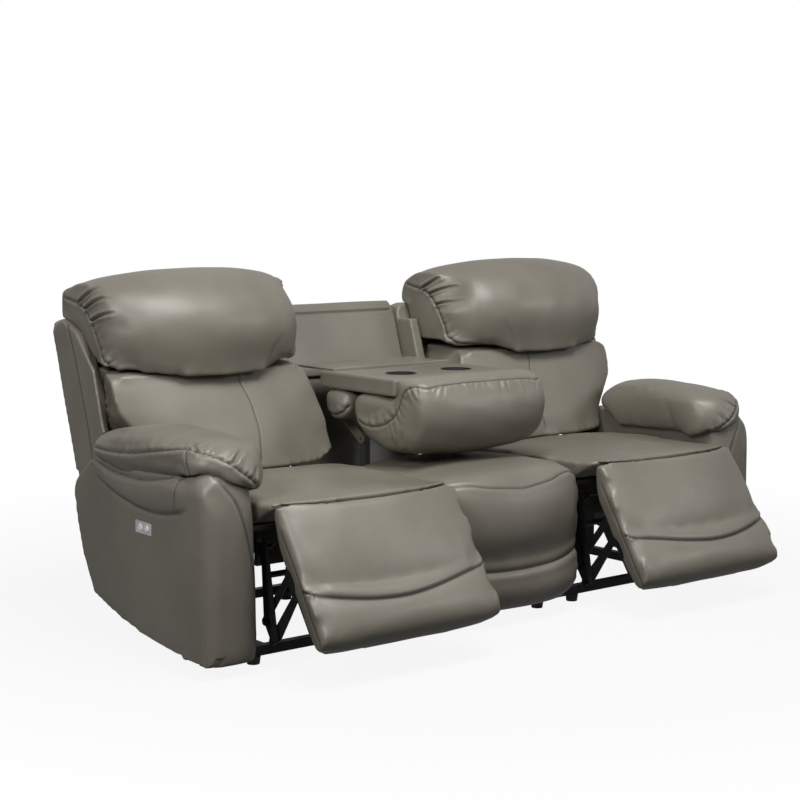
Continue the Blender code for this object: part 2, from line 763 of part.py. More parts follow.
def make_footrest_frame(side):
    low, high = layer(3)
    start, end = (share * PAD_LENGTH for share in PANEL_SHARES)
    back = PAD_BACK + TOUCH
    corners = [pad_point(start, back), pad_point(end, back),
               pad_point(end, back + PANEL_THICKNESS), pad_point(start, back + PANEL_THICKNESS)]
    panel = side_plate([tuple(point) for point in corners], [], -PANEL_HALF, PANEL_HALF)
    inset = LINK_RADIUS / 2
    feet = [pad_point(start + inset, back + PANEL_THICKNESS - inset / 2),
            pad_point(start + PAD_LENGTH * 0.28, back + PANEL_THICKNESS - inset / 2)]
    outline = link_outline([bracket_low, bracket_high], LINK_RADIUS)
    web = outline + [tuple(point) for point in feet]
    outline = [web[index] for index in convex_hull_2d(web)]
    bracket = side_plate(outline, [hole(bracket_low), hole(bracket_high)], low, high)
    near, far = both_sides(bracket)
    add_part(f"{side_name(side)}_footrest_frame", in_seat(united(panel, near, far), side), steel,
             pivot=(side * SEAT_OFFSET, turning_line.x, turning_line.y))


# Links

def make_front_links(side):
    low, high = layer(1)
    outline = link_outline([front_pivot, knee, link_tab], LINK_RADIUS)
    plate = side_plate(outline, [hole(front_pivot)], low, high)
    near = united(plate, pin_through(1, 2, knee), pin_through(1, 2, link_tab))
    near, far = both_sides(near)
    tube = pin(-low - PLATE / 2, low + PLATE / 2, torque_tube, TUBE_RADIUS)
    cheeks = []
    outline = link_outline([torque_tube, crank_pin], CRANK_PIN_RADIUS + YOKE_WALL / 2)
    for sign in (-1, 1):
        x = sign * (CRANK_HALF_GAP + PLATE / 2)
        cheeks.append(side_plate(outline, [], x - PLATE / 2, x + PLATE / 2))
    reach = CRANK_HALF_GAP + PLATE
    crank = pin(-reach + PIN_HEAD, reach - PIN_HEAD, crank_pin, CRANK_PIN_RADIUS)
    links = in_seat(united(near, far, tube, *cheeks, crank), side)
    add_part(f"{side_name(side)}_front_links", links, steel, pivot=at_x(side * SEAT_OFFSET, front_pivot))


def shaft_hole():
    return (GUIDE_SHAFT_RADIUS + PIN_PLAY) / math.cos(math.pi / PIN_SEGMENTS)


def make_guide_links(side):
    # A pair of levers on a cross shaft that turns in the seat plates
    low, high = layer(4)
    outline = link_outline([guide_pivot, guide_knee], LINK_RADIUS)
    lever = side_plate(outline, [hole(guide_knee)], low, high)
    near, far = both_sides(lever)
    end = high + PIN_HEAD
    shaft = pin(-end, end, guide_pivot, GUIDE_SHAFT_RADIUS)
    links = in_seat(united(near, far, shaft), side)
    add_part(f"{side_name(side)}_guide_links", links, steel, pivot=at_x(side * SEAT_OFFSET, guide_pivot))


def make_outer_links(side):
    low, high = layer(2)
    for sign, place in ((-1, "left"), (1, "right")):
        outline = link_outline([knee, guide_knee, bracket_low], LINK_RADIUS)
        link = side_plate(outline, [hole(knee)], low, high)
        link = united(link, pin_through(2, 4, guide_knee), pin_through(2, 3, bracket_low))
        add_part(f"{side_name(side)}_outer_link_{place}", in_seat(link, side, sign), steel,
                 pivot=at_x(side * SEAT_OFFSET, knee))
        outline = link_outline([link_tab, bracket_high], LINK_RADIUS)
        inner = side_plate(outline, [hole(link_tab)], low, high)
        inner = united(inner, pin_through(2, 3, bracket_high))
        add_part(f"{side_name(side)}_inner_link_{place}", in_seat(inner, side, sign), steel,
                 pivot=at_x(side * SEAT_OFFSET, link_tab))


# Drive

def make_push_rod(side):
    half_slot = YOKE_SLOT / 2
    radius = CRANK_PIN_RADIUS + YOKE_PLAY
    slot = link_outline([(crank_pin.x, rod_height - half_slot + radius),
                         (crank_pin.x, rod_height + half_slot - radius)], radius)
    half_width = radius + YOKE_WALL
    half_height = half_slot + YOKE_WALL * 0.55
    corners = [(crank_pin.x - half_width, rod_height - half_height),
               (crank_pin.x + half_width, rod_height - half_height),
               (crank_pin.x + half_width, rod_height + half_height),
               (crank_pin.x - half_width, rod_height + half_height)]
    yoke = side_plate(corners, [slot], -YOKE_THICKNESS / 2, YOKE_THICKNESS / 2)
    start = crank_pin.x + radius + YOKE_WALL / 2
    rod = cylinder((0, start, rod_height), (0, start + ROD_LENGTH, rod_height), ROD_RADIUS)
    rod = in_seat(united(yoke, rod), side)
    add_part(f"{side_name(side)}_push_rod", rod, satin_metal,
             pivot=(side * SEAT_OFFSET, crank_pin.x, rod_height))


def make_motor(side):
    rear = GUIDE_FRONT + GUIDE_LENGTH
    guide = cylinder((0, GUIDE_FRONT, rod_height), (0, rear, rod_height), GUIDE_RADIUS)
    width, depth, height = GEARBOX
    top = SEAT_PLATE_TOP - SEAT_PLATE_HEIGHT / 2 - CROSS_TUBE_RADIUS - TOUCH
    middle = CROSS_TUBE_DEPTHS[1]
    gearbox = box((-width / 2, middle - depth / 2, top - height), (width / 2, middle + depth / 2, top))
    neck = box((-GUIDE_RADIUS, rear - OVERRUN, rod_height - GUIDE_RADIUS),
               (GUIDE_RADIUS, middle, rod_height + GUIDE_RADIUS))
    saddle = box((-SADDLE_WIDTH / 2, CROSS_TUBE_DEPTHS[0] - SADDLE_WIDTH / 2, rod_height),
                 (SADDLE_WIDTH / 2, CROSS_TUBE_DEPTHS[0] + SADDLE_WIDTH / 2, top))
    low = top - height + MOTOR_RADIUS - OVERRUN / 2
    can = cylinder((0, middle, low), (MOTOR_LENGTH, middle, low), MOTOR_RADIUS, segments=16)
    motor = united(guide, gearbox, neck, saddle, can)
    bore = cylinder((0, GUIDE_FRONT - OVERRUN, rod_height), (0, rear - OVERRUN, rod_height),
                    ROD_RADIUS + ROD_PLAY)
    motor = cut(motor, bore)
    add_part(f"{side_name(side)}_motor", in_seat(motor, side, side), plastic)


# Back

def rear_face(height):
    return SHELL_REAR + LEAN * (height - SHELL_REAR_HEIGHT)


def shell_face(height):
    return rear_face(height) - SHELL_THICKNESS


def leaned(mesh):
    # Shears a mesh modelled at the shell's rear face so that it leans back with height
    shear = Matrix(((1, 0, 0, 0), (0, 1, LEAN, 0), (0, 0, 1, 0), (0, 0, 0, 1)))
    mesh.transform(shear)
    return mesh


def back_shell_mesh():
    # Modelled for the right seat; the left one is its mirror
    inner = SEAT_OFFSET + BACK_SIDE_SHIFT - BACK_HALF + WING_STEP
    outer = SEAT_OFFSET + BACK_SIDE_SHIFT + BACK_HALF - WING_STEP
    foot = rear_face(0)
    round_off = 0.8 * OUTER_WING
    low_in = SEAT_OFFSET - SHELL_LOWER_HALF
    low_out = SEAT_OFFSET + SHELL_LOWER_HALF
    outline = [(low_in, SHELL_BOTTOM), (low_out, SHELL_BOTTOM), (low_out, SHELL_STEP),
               (outer, SHELL_STEP), (outer, SHELL_TOP - round_off), (outer - round_off * 0.3,
               SHELL_TOP - round_off * 0.3), (outer - round_off, SHELL_TOP),
               (inner + round_off, SHELL_TOP), (inner + round_off * 0.3, SHELL_TOP - round_off * 0.3),
               (inner, SHELL_TOP - round_off), (inner, SHELL_STEP + WING_TUCK),
               (low_in, SHELL_STEP + WING_TUCK)]
    slab = flat_shape(outline, [], SHELL_THICKNESS)
    stand = Matrix(((1, 0, 0, 0), (0, 0, -1, 0), (0, 1, 0, 0), (0, 0, 0, 1)))
    slab.transform(Matrix.Translation((0, foot - SHELL_THICKNESS / 2, 0)) @ stand)
    slab = leaned(slab)
    height = SHELL_TOP - WING_BOTTOM
    front = [(WING_FOOT + back * height, WING_BOTTOM + up * height) for up, back in WING_FRONT_SHARES]
    top = [(WING_FOOT + back * height, WING_BOTTOM + up * height) for up, back in WING_TOP_SHARES]
    front[0] = (rear_face(WING_BOTTOM) - WING_TUCK, WING_BOTTOM)
    wing = side_plate(front + top, [], outer - OUTER_WING, outer + WING_STEP)
    fin_heights = (SHELL_STEP + 2 * WING_TUCK, SHELL_TOP - round_off - WING_TUCK)
    inner_front = [(rear_face(z) - INNER_WING_DEPTH, z) for z in fin_heights]
    inner_rear = [(rear_face(z) - WING_TUCK, z) for z in reversed(fin_heights)]
    fin = side_plate(inner_front + inner_rear, [], inner - WING_STEP, inner + INNER_WING)
    brackets = []
    x = layer(0)[0] - BACK_BRACKET_GAP
    anchors = [(shell_face(z) + SHELL_THICKNESS / 2, z) for z in (BACK_PIVOT[1] + LINK_RADIUS, SHELL_STEP)]
    for sign in (-1, 1):
        low, high = sorted((SEAT_OFFSET + sign * (x - PLATE), SEAT_OFFSET + sign * x))
        outline = link_outline([BACK_PIVOT] + anchors, LINK_RADIUS)
        brackets.append(side_plate(outline, [hole(BACK_PIVOT)], low, high))
    return united(slab, wing, fin, *brackets)


def make_back_shell(side):
    shell = back_shell_mesh()
    if side < 0:
        mirrored(shell)
    add_part(f"{side_name(side)}_back_shell", shell, leather,
             pivot=at_x(side * SEAT_OFFSET, BACK_PIVOT))


def pillow_reach():
    # Inner and outer end of the head pillow, just inside the shell's sides
    middle = SEAT_OFFSET + BACK_SIDE_SHIFT
    return middle - BACK_HALF + PILLOW_INSET_INNER, middle + BACK_HALF - PILLOW_INSET_OUTER


def lumbar_across(place, height):
    # The cushion is narrow between the arms and wider above them; place is -1 on the console side
    share = (height - LUMBAR_BOTTOM) / (LUMBAR_TOP - LUMBAR_BOTTOM)
    above_arm = min(1.0, max(0.0, share - LUMBAR_STEP_SHARE) / LUMBAR_WIDEN_SHARE)
    low_outer = arm_inner() - LUMBAR_LOW_ARM_GAP
    top_outer = pillow_reach()[1]
    outer = low_outer + (top_outer - low_outer) * above_arm
    inner = SEAT_OFFSET - LUMBAR_LOW_INNER + (LUMBAR_LOW_INNER - LUMBAR_TOP_INNER) * max(0.0, share) ** 2
    middle = (SEAT_OFFSET - LUMBAR_LOW_INNER + top_outer) / 2
    return middle + place * (outer - middle if place > 0 else middle - inner)


def lumbar_profile(place):
    ends = abs(place) ** 4
    front = LUMBAR_FRONT + ends * LUMBAR_BULGE * 1.3
    bulge = LUMBAR_BULGE * (1 - ends)
    rise = LUMBAR_TOP - LUMBAR_BOTTOM

    def face(share, out):
        z = LUMBAR_BOTTOM + share * rise
        return (front + LEAN * (z - LUMBAR_BOTTOM) - out, z)

    def rear(share):
        z = LUMBAR_BOTTOM + share * rise
        return (shell_face(z) - PILLOW_GAP, z)

    return [face(0.03, 0), face(0.14, bulge), face(0.36, 0.8 * bulge), face(0.62, 0.3 * bulge),
            face(0.86, -0.2 * bulge), face(0.98, -LUMBAR_BULGE),
            (rear(1)[0] - LUMBAR_BULGE, LUMBAR_TOP), rear(0.97), rear(0.66), rear(0.33), rear(0.03),
            (rear(0)[0] - LUMBAR_BULGE, LUMBAR_BOTTOM)]


def make_lumbar_cushion(side):
    mesh = soft_sections(lumbar_profile, lumbar_across, PLAIN_STATIONS_SHARES)
    shell, arm = back_shell_mesh(), arm_mesh()
    if side < 0:
        for each in (mesh, shell, arm):
            mirrored(each)
    item = add_part(f"{side_name(side)}_lumbar_cushion", mesh, leather,
                    pivot=at_x(side * SEAT_OFFSET, BACK_PIVOT), smooth=True)
    add_subdivision(item)
    fit_against(item, shell)
    fit_against(item, arm, LUMBAR_ARM_GAP)


def pillow_profile(place):
    # Side outline of the head pillow: a fat bolster that hangs over the top of the shell
    base = LUMBAR_TOP + PILLOW_GAP
    ends = abs(place) ** 4
    sag = PILLOW_SAG * (1 - abs(place) ** 2)
    height = PILLOW_HEIGHT * (1 - 0.11 * ends)
    front = PILLOW_FRONT + 0.26 * PILLOW_DEPTH * ends
    depth = PILLOW_FRONT + PILLOW_DEPTH - front
    above = SHELL_TOP + PILLOW_GAP
    rear = PILLOW_FRONT + PILLOW_DEPTH
    return [(front + 0.31 * depth, base), (front + 0.17 * depth, base - 0.2 * sag),
            (front + 0.075 * depth, base - sag + 0.05 * height),
            (front, base + 0.32 * height), (front + 0.045 * depth, base + 0.60 * height),
            (front + 0.20 * depth, base + 0.88 * height), (front + 0.46 * depth, base + height),
            (front + 0.74 * depth, base + 0.97 * height), (rear - 0.06 * depth, base + 0.83 * height),
            (rear, base + 0.66 * height), (rear, above),
            (shell_face(above) - PILLOW_GAP, above - PILLOW_GAP),
            (shell_face(base + 0.1 * height) - PILLOW_GAP, base + 0.1 * height),
            (shell_face(base) - 0.1 * depth, base)]


def make_head_pillow(side):
    inner, outer = pillow_reach()
    middle, half = (inner + outer) / 2, (outer - inner) / 2
    mesh = soft_sections(pillow_profile, even(middle, half), PLAIN_STATIONS_SHARES)
    shell = back_shell_mesh()
    if side < 0:
        mirrored(mesh)
        mirrored(shell)
    item = add_part(f"{side_name(side)}_head_pillow", mesh, leather,
                    pivot=at_x(side * SEAT_OFFSET, BACK_PIVOT), smooth=True)
    add_subdivision(item)
    fit_against(item, shell)


# Arms

def arm_inner():
    return SEAT_OFFSET + SEAT_WIDTH / 2 + ARM_GAP


def arm_mesh():
    rise = ARM_TOP - ARM_FOOT
    points = [(ARM_FRONT + back * ARM_DEPTH, ARM_FOOT + up * rise) for back, up in ARM_OUTLINE_SHARES]
    panel = side_plate(points, [], arm_inner(), arm_inner() + ARM_WIDTH)
    panel = rounded(panel, ARM_ROUNDING, 2)
    rings = []
    low_inner, high_inner = (arm_inner() + shift for shift in ARM_ROLL_SHIFT)
    high_outer = arm_inner() + ARM_WIDTH + ARM_ROLL_BULGE
    for up, size in ARM_ROLL_STATIONS_SHARES:
        z = ARM_ROLL_FOOT + up * (ARM_ROLL_TOP - ARM_ROLL_FOOT)
        inner = low_inner + up * (high_inner - low_inner)
        middle = ((inner + high_outer) / 2, ARM_ROLL_REAR - ARM_ROLL_DEPTH / 2)
        ring = []
        for across, along in ARM_ROLL_PLAN_SHARES:
            x = inner + across * (high_outer - inner)
            y = ARM_ROLL_REAR - along * ARM_ROLL_DEPTH
            ring.append((middle[0] + (x - middle[0]) * size, middle[1] + (y - middle[1]) * size, z))
        rings.append(ring)
    arm = united(panel, lofted(rings))
    half = RAIL_WIDTH / 2 + FIT_GAP
    rail = box((0, FRONT_RAIL_DEPTH - half, 0), (FRONT_RAIL_HALF + FIT_GAP, FRONT_RAIL_DEPTH + 4 * half,
                                                 ARM_FOOT))
    return cut(arm, rail)


def make_arm(side):
    mesh = arm_mesh()
    if side < 0:
        mirrored(mesh)
    add_part(f"{side_name(side)}_arm", mesh, leather)


def arm_pad_profile(place):
    # place runs from the seat side, -1, to the outside, 1
    base = ARM_TOP - PILLOW_GAP
    outward = min(1.0, max(0.0, place * 3 - 0.4))
    rear = ARM_PAD_INNER_REAR + (ARM_PAD_REAR - ARM_PAD_INNER_REAR) * outward
    ends = abs(place) ** 3
    front = ARM_PAD_FRONT + ARM_PAD_RETREAT * ends
    length = rear - front
    top = base + ARM_PAD_HEIGHT * (1 - 0.22 * ends)
    droop = ARM_PAD_HEIGHT * 0.32
    nose = front + 0.12 * length
    return [(nose, base), (nose - 0.05 * length, base - 0.9 * droop),
            (front + 0.02 * length, base - 0.7 * droop), (front, base + 0.15 * ARM_PAD_HEIGHT),
            (front + 0.05 * length, base + 0.64 * ARM_PAD_HEIGHT),
            (front + 0.19 * length, top - 0.08 * ARM_PAD_HEIGHT),
            (front + 0.45 * length, top), (front + 0.70 * length, top),
            (rear - 0.10 * length, top - 0.18 * ARM_PAD_HEIGHT),
            (rear, base + 0.46 * ARM_PAD_HEIGHT), (rear - 0.02 * length, base),
            (front + 0.55 * length, base)]


def make_arm_pad(side):
    low = arm_inner() - ARM_PAD_OVERHANG_IN
    high = arm_inner() + ARM_WIDTH + ARM_PAD_OVERHANG_OUT
    mesh = soft_sections(arm_pad_profile, even((low + high) / 2, (high - low) / 2), PLAIN_STATIONS_SHARES)
    arm = arm_mesh()
    if side < 0:
        mirrored(mesh)
        mirrored(arm)
    item = add_part(f"{side_name(side)}_arm_pad", mesh, leather, smooth=True)
    add_subdivision(item)
    fit_against(item, arm)


def button_depths():
    return (SWITCH_DEPTH - BUTTON_SPACING / 2, SWITCH_DEPTH + BUTTON_SPACING / 2)


def make_switch(side):
    face = arm_inner() + ARM_WIDTH
    low = (face + TOUCH, SWITCH_DEPTH - SWITCH_LENGTH / 2, SWITCH_HEIGHT - SWITCH_WIDTH / 2)
    high = (face + TOUCH + SWITCH_THICKNESS, SWITCH_DEPTH + SWITCH_LENGTH / 2,
            SWITCH_HEIGHT + SWITCH_WIDTH / 2)
    plate = box(low, high)
    holes = [cylinder((face - OVERRUN, depth, SWITCH_HEIGHT), (high[0] + OVERRUN, depth, SWITCH_HEIGHT),
                      BUTTON_RADIUS + BUTTON_PLAY, segments=16) for depth in button_depths()]
    plate = cut(plate, *holes)
    if side < 0:
        mirrored(plate)
    add_part(f"{side_name(side)}_switch_plate", plate, satin_metal)
    for name, depth in zip(("front", "rear"), button_depths()):
        start = face + BUTTON_BACK
        end = high[0] + BUTTON_PROUD
        crown = (end - start) * 0.2
        body = cylinder((start, depth, SWITCH_HEIGHT), (end - crown, depth, SWITCH_HEIGHT),
                        BUTTON_RADIUS, segments=16)
        cap = cylinder((end - 2 * crown, depth, SWITCH_HEIGHT), (end, depth, SWITCH_HEIGHT),
                       BUTTON_RADIUS, BUTTON_RADIUS - crown, segments=16)
        cap = cut(cap, box((start, depth - 2 * BUTTON_RADIUS, low[2] - OVERRUN),
                           (end - crown, depth + 2 * BUTTON_RADIUS, high[2] + OVERRUN)))
        button = united(body, cap)
        if side < 0:
            mirrored(button)
        add_part(f"{side_name(side)}_{name}_button", button, plastic,
                 pivot=(side * start, depth, SWITCH_HEIGHT))


# Centre seat and back

def centre_profile(place):
    crown = 1 - place ** 2
    front = CENTRE_FRONT - CENTRE_CROWN * crown * 0.5
    top = CENTRE_TOP - CUSHION_DROP * place ** 2
    rise = top - CENTRE_BOTTOM
    inside = CENTRE_FRONT + CENTRE_PANEL
    depth = CENTRE_REAR - CENTRE_FRONT
    return [(inside - 0.1 * CENTRE_PANEL, CENTRE_BOTTOM), (front + 0.2 * CENTRE_PANEL, CENTRE_BOTTOM),
            (front - 0.10 * CENTRE_PANEL, CENTRE_BOTTOM + 0.16 * rise),
            (front + 0.16 * CENTRE_PANEL, CENTRE_BOTTOM + 0.36 * rise),
            (front - 0.24 * CENTRE_PANEL * crown, CENTRE_BOTTOM + 0.48 * rise),
            (front - 0.28 * CENTRE_PANEL * crown, CENTRE_BOTTOM + 0.74 * rise),
            (front + 0.10 * CENTRE_PANEL, CENTRE_BOTTOM + 0.91 * rise),
            (front + 0.16 * depth, top), (front + 0.58 * depth, top),
            (CENTRE_REAR - 0.05 * depth, top - CUSHION_DROP),
            (CENTRE_REAR, top - 3 * CUSHION_DROP), (CENTRE_REAR - 0.02 * depth, CENTRE_SEAT_UNDER),
            (inside + 0.3 * depth, CENTRE_SEAT_UNDER), (inside, CENTRE_SEAT_UNDER)]


def make_centre_cushion():
    mesh = soft_sections(centre_profile, even(0, CENTRE_HALF))
    item = add_part("centre_seat_cushion", mesh, leather, smooth=True)
    add_subdivision(item)
    half = CENTRE_HALF + OVERRUN
    fit_against(item, box((-half, FRAME_FRONT - TOUCH, 0),
                          (half, CENTRE_REAR + OVERRUN, CENTRE_SEAT_UNDER)), 0)


def make_centre_frame():
    low_z, high_z = RAIL_TOP + TOUCH, CENTRE_SEAT_UNDER - TOUCH
    board = box((FRAME_HALF - BOARD, FRAME_FRONT, low_z), (FRAME_HALF, FRAME_REAR, high_z))
    near, far = both_sides(board)
    mid = (low_z + high_z) / 2
    front = box((-FRAME_HALF + BOARD / 2, FRAME_FRONT + TOUCH, mid),
                (FRAME_HALF - BOARD / 2, FRAME_FRONT + BOARD, high_z - TOUCH))
    rear = box((-FRAME_HALF + BOARD / 2, FRAME_REAR - BOARD, mid),
               (FRAME_HALF - BOARD / 2, FRAME_REAR - TOUCH, high_z - TOUCH))
    pivot_y = CONSOLE_PIVOT[0]
    bearer = box((-FRAME_HALF + BOARD / 2, pivot_y - BOARD, mid),
                 (FRAME_HALF - BOARD / 2, pivot_y + BOARD, high_z - 2 * TOUCH))
    start = CONSOLE_ARM_X - BOARD - FIT_GAP
    outline = link_outline([(pivot_y, high_z - UPRIGHT_WIDTH), CONSOLE_PIVOT], CONSOLE_ARM_RADIUS)
    upright = side_plate(outline, [], start, start + BOARD)
    stud = pin(start + BOARD / 2, CONSOLE_ARM_X + PLATE + PIN_HEAD, CONSOLE_PIVOT)
    left, right = both_sides(united(upright, stud))
    frame = united(near, far, front, rear, bearer, left, right)
    add_part("centre_seat_frame", frame, timber)


def make_centre_back():
    rows = ((CENTRE_BACK_BOTTOM, 0), (CENTRE_BACK_TOP - CENTRE_BACK_THICKNESS / 4, 0),
            (CENTRE_BACK_TOP, CENTRE_BACK_THICKNESS / 4))
    rear = [(rear_face(z) - inset, z) for z, inset in rows]
    front = [(rear_face(z) - CENTRE_BACK_THICKNESS + inset, z) for z, inset in reversed(rows)]
    shell = side_plate(rear + front, [], -CENTRE_BACK_HALF, CENTRE_BACK_HALF)
    # Below the wings it fills the room between the two reclining shells
    skirt_half = SEAT_OFFSET - SHELL_LOWER_HALF - CENTRE_BACK_LOW_GAP
    skirt_rows = ((CENTRE_BACK_BOTTOM + WING_STEP, WING_STEP), (CENTRE_SKIRT_TOP, WING_STEP))
    skirt = [(rear_face(z) - inset, z) for z, inset in skirt_rows]
    skirt += [(rear_face(z) - CENTRE_BACK_THICKNESS + inset, z) for z, inset in reversed(skirt_rows)]
    skirt = side_plate(skirt, [], -skirt_half, skirt_half)
    low = CENTRE_SEAT_UNDER - UPRIGHT_WIDTH
    leg = box((FRAME_HALF - BOARD, FRAME_REAR + TOUCH, low),
              (FRAME_HALF, rear_face(low) - CENTRE_BACK_THICKNESS / 2, CENTRE_SEAT_UNDER))
    near, far = both_sides(leg)
    add_part("centre_back_shell", united(shell, skirt, near, far), leather)


def make_recess_panel():
    top = CENTRE_BACK_TOP - RECESS_TOP_GAP
    near, far = CENTRE_BACK_THICKNESS + TOUCH, CENTRE_BACK_THICKNESS + RECESS_THICKNESS
    outline = [(rear_face(z) - out, z) for z, out in (
        (RECESS_BOTTOM, near), (RECESS_BOTTOM, far), (top, far), (top, near))]
    panel = side_plate(outline, [], -CENTRE_BACK_HALF, CENTRE_BACK_HALF)
    item = add_part("recess_panel", panel, leather)
    add_bevel(item, RECESS_THICKNESS / 3, 2)


# Console

def console_pivot_at():
    return at_x(0, CONSOLE_PIVOT)


def cup_places():
    return (-CUP_SPACING / 2, CUP_SPACING / 2)


def make_table():
    bottom = TABLE_TOP - TABLE_THICKNESS
    board = box((-TABLE_HALF, TABLE_FRONT, bottom), (TABLE_HALF, TABLE_REAR, TABLE_TOP))
    cup_bore = (CUP_RADIUS + CUP_WALL + CUP_PLAY) / math.cos(math.pi / CUP_STEPS)
    bores = [cylinder((x, CUP_DEPTH_PLACE, bottom - OVERRUN), (x, CUP_DEPTH_PLACE, TABLE_TOP + OVERRUN),
                      cup_bore, segments=CUP_STEPS) for x in cup_places()]
    low, high = CONSOLE_ARM_X, CONSOLE_ARM_X + PLATE
    elbow = (CONSOLE_ARM_DEPTH, CONSOLE_ELBOW)
    reach = (CONSOLE_ARM_DEPTH, TABLE_TOP - CONSOLE_ARM_RADIUS - FLAP_THICKNESS)
    lower = side_plate(link_outline([CONSOLE_PIVOT, elbow], CONSOLE_ARM_RADIUS),
                       [hole(CONSOLE_PIVOT)], low, high)
    upper = side_plate(link_outline([elbow, reach], CONSOLE_ARM_RADIUS), [], low, high)
    block = box((low - BOARD, TABLE_REAR - OVERRUN, reach[1] - CONSOLE_ARM_BLOCK / 2),
                (high - PLATE / 2, CONSOLE_ARM_DEPTH, reach[1] + CONSOLE_ARM_RADIUS / 2))
    near, far = both_sides(united(lower, upper, block))
    board = rounded(board, TABLE_ROUNDING, 2)
    board = cut(board, *bores)
    add_part("console_table", united(board, near, far), leather, pivot=console_pivot_at())


def make_cup_holders():
    for name, x in zip(("left", "right"), cup_places()):
        depth = TABLE_THICKNESS - CUP_FLOOR_GAP
        profile = ((0, -depth), (CUP_RADIUS - CUP_WALL, -depth), (CUP_RADIUS, -depth + CUP_WALL),
                   (CUP_RADIUS, CUP_WALL), (CUP_RADIUS + CUP_LIP, CUP_WALL))
        bm = bmesh.new()
        points = [bm.verts.new((radius, 0, height)) for radius, height in profile]
        for first, second in zip(points, points[1:]):
            bm.edges.new((first, second))
        bmesh.ops.spin(bm, geom=bm.verts[:] + bm.edges[:], angle=2 * math.pi, steps=CUP_STEPS,
                       axis=(0, 0, 1), cent=(0, 0, 0))
        bmesh.ops.remove_doubles(bm, verts=bm.verts, dist=0.00001)
        mesh = mesh_from(bm)
        place = (x, CUP_DEPTH_PLACE, TABLE_TOP + TOUCH)
        mesh.transform(Matrix.Translation(place))
        item = add_part(f"{name}_cup_holder", mesh, plastic, pivot=console_pivot_at())
        wall = item.modifiers.new("wall", "SOLIDIFY")
        wall.thickness = CUP_WALL
        wall.offset = 1


def make_flap():
    low = TABLE_TOP + TOUCH
    outline = [(FLAP_FRONT, low), (FLAP_REAR, low), (FLAP_REAR, low + FLAP_THICKNESS),
               (FLAP_FRONT + 2 * FLAP_EDGE, low + FLAP_THICKNESS),
               (FLAP_FRONT + FLAP_EDGE, low + FLAP_THICKNESS + FLAP_EDGE),
               (FLAP_FRONT, low + FLAP_THICKNESS)]
    flap = side_plate(outline, [], -FLAP_HALF, FLAP_HALF)
    add_part("console_flap", flap, leather, pivot=(0, FLAP_FRONT, low + FLAP_THICKNESS))


def console_pillow_profile(place):
    ends = abs(place) ** 3
    depth = PILLOW_ROLL_REAR - PILLOW_ROLL_FRONT
    height = PILLOW_ROLL_TOP - PILLOW_ROLL_BOTTOM
    under = TABLE_TOP - TABLE_THICKNESS
    before = TABLE_FRONT
    front = PILLOW_ROLL_FRONT + 0.10 * depth * ends
    bottom = PILLOW_ROLL_BOTTOM + 0.08 * height * ends
    return [(front + 0.02 * depth, bottom + 0.35 * height), (front, bottom + 0.6 * height),
            (front + 0.08 * depth, bottom + 0.86 * height),
            (front + 0.28 * depth, PILLOW_ROLL_TOP), (before, PILLOW_ROLL_TOP - 0.06 * height),
            (before, under), (before + 0.2 * depth, under), (PILLOW_ROLL_REAR - 0.05 * depth, under),
            (PILLOW_ROLL_REAR, under - 0.2 * height),
            (PILLOW_ROLL_REAR - 0.10 * depth, bottom + 0.16 * height),
            (PILLOW_ROLL_REAR - 0.35 * depth, bottom), (front + 0.38 * depth, bottom),
            (front + 0.14 * depth, bottom + 0.10 * height)]


def make_console_pillow():
    mesh = soft_sections(console_pillow_profile, even(0, PILLOW_ROLL_HALF), PLAIN_STATIONS_SHARES)
    item = add_part("console_pillow", mesh, leather, pivot=console_pivot_at(), smooth=True)
    add_subdivision(item)
    half = PILLOW_ROLL_HALF + OVERRUN
    table_space = box((-half, TABLE_FRONT, TABLE_TOP - TABLE_THICKNESS),
                      (half, TABLE_REAR, TABLE_TOP + OVERRUN))
    fit_against(item, table_space)


def make_console_roll():
    top = TABLE_TOP - TABLE_THICKNESS - TOUCH
    low_y = PILLOW_ROLL_REAR + REAR_ROLL_GAP
    depth, height = REAR_ROLL_DEPTH, REAR_ROLL_HEIGHT

    def profile(place):
        return [(low_y, top - 0.30 * height), (low_y + 0.10 * depth, top), (low_y + 0.9 * depth, top),
                (low_y + depth, top - 0.35 * height), (low_y + 0.85 * depth, top - 0.85 * height),
                (low_y + 0.5 * depth, top - height), (low_y + 0.12 * depth, top - 0.85 * height)]

    mesh = soft_sections(profile, even(0, TABLE_HALF), PLAIN_STATIONS_SHARES)
    item = add_part("console_roll", mesh, leather, pivot=console_pivot_at(), smooth=True)
    add_subdivision(item)
    fit_against(item, box((-TABLE_HALF - OVERRUN, low_y - OVERRUN, top + TOUCH),
                          (TABLE_HALF + OVERRUN, low_y + depth + OVERRUN, TABLE_TOP)), 0)


make_base_frame()
make_front_feet()
for seat_side in (-1, 1):
    make_seat_frame(seat_side)
    make_seat_deck(seat_side)
    make_seat_cushion(seat_side)
    make_footrest_pad(seat_side)
    make_footrest_frame(seat_side)
    make_front_links(seat_side)
    make_guide_links(seat_side)
    make_outer_links(seat_side)
    make_push_rod(seat_side)
    make_motor(seat_side)
    make_back_shell(seat_side)
    make_lumbar_cushion(seat_side)
    make_head_pillow(seat_side)
    make_arm(seat_side)
    make_arm_pad(seat_side)
    make_switch(seat_side)
make_centre_cushion()
make_centre_frame()
make_centre_back()
make_recess_panel()
make_table()
make_cup_holders()
make_flap()
make_console_pillow()
make_console_roll()
print("parts", len([item for item in parts.objects if item.type == "MESH"]))
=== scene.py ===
import math

import bpy
import numpy as np
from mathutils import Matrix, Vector
from mathutils.bvhtree import BVHTree
from mathutils.kdtree import KDTree


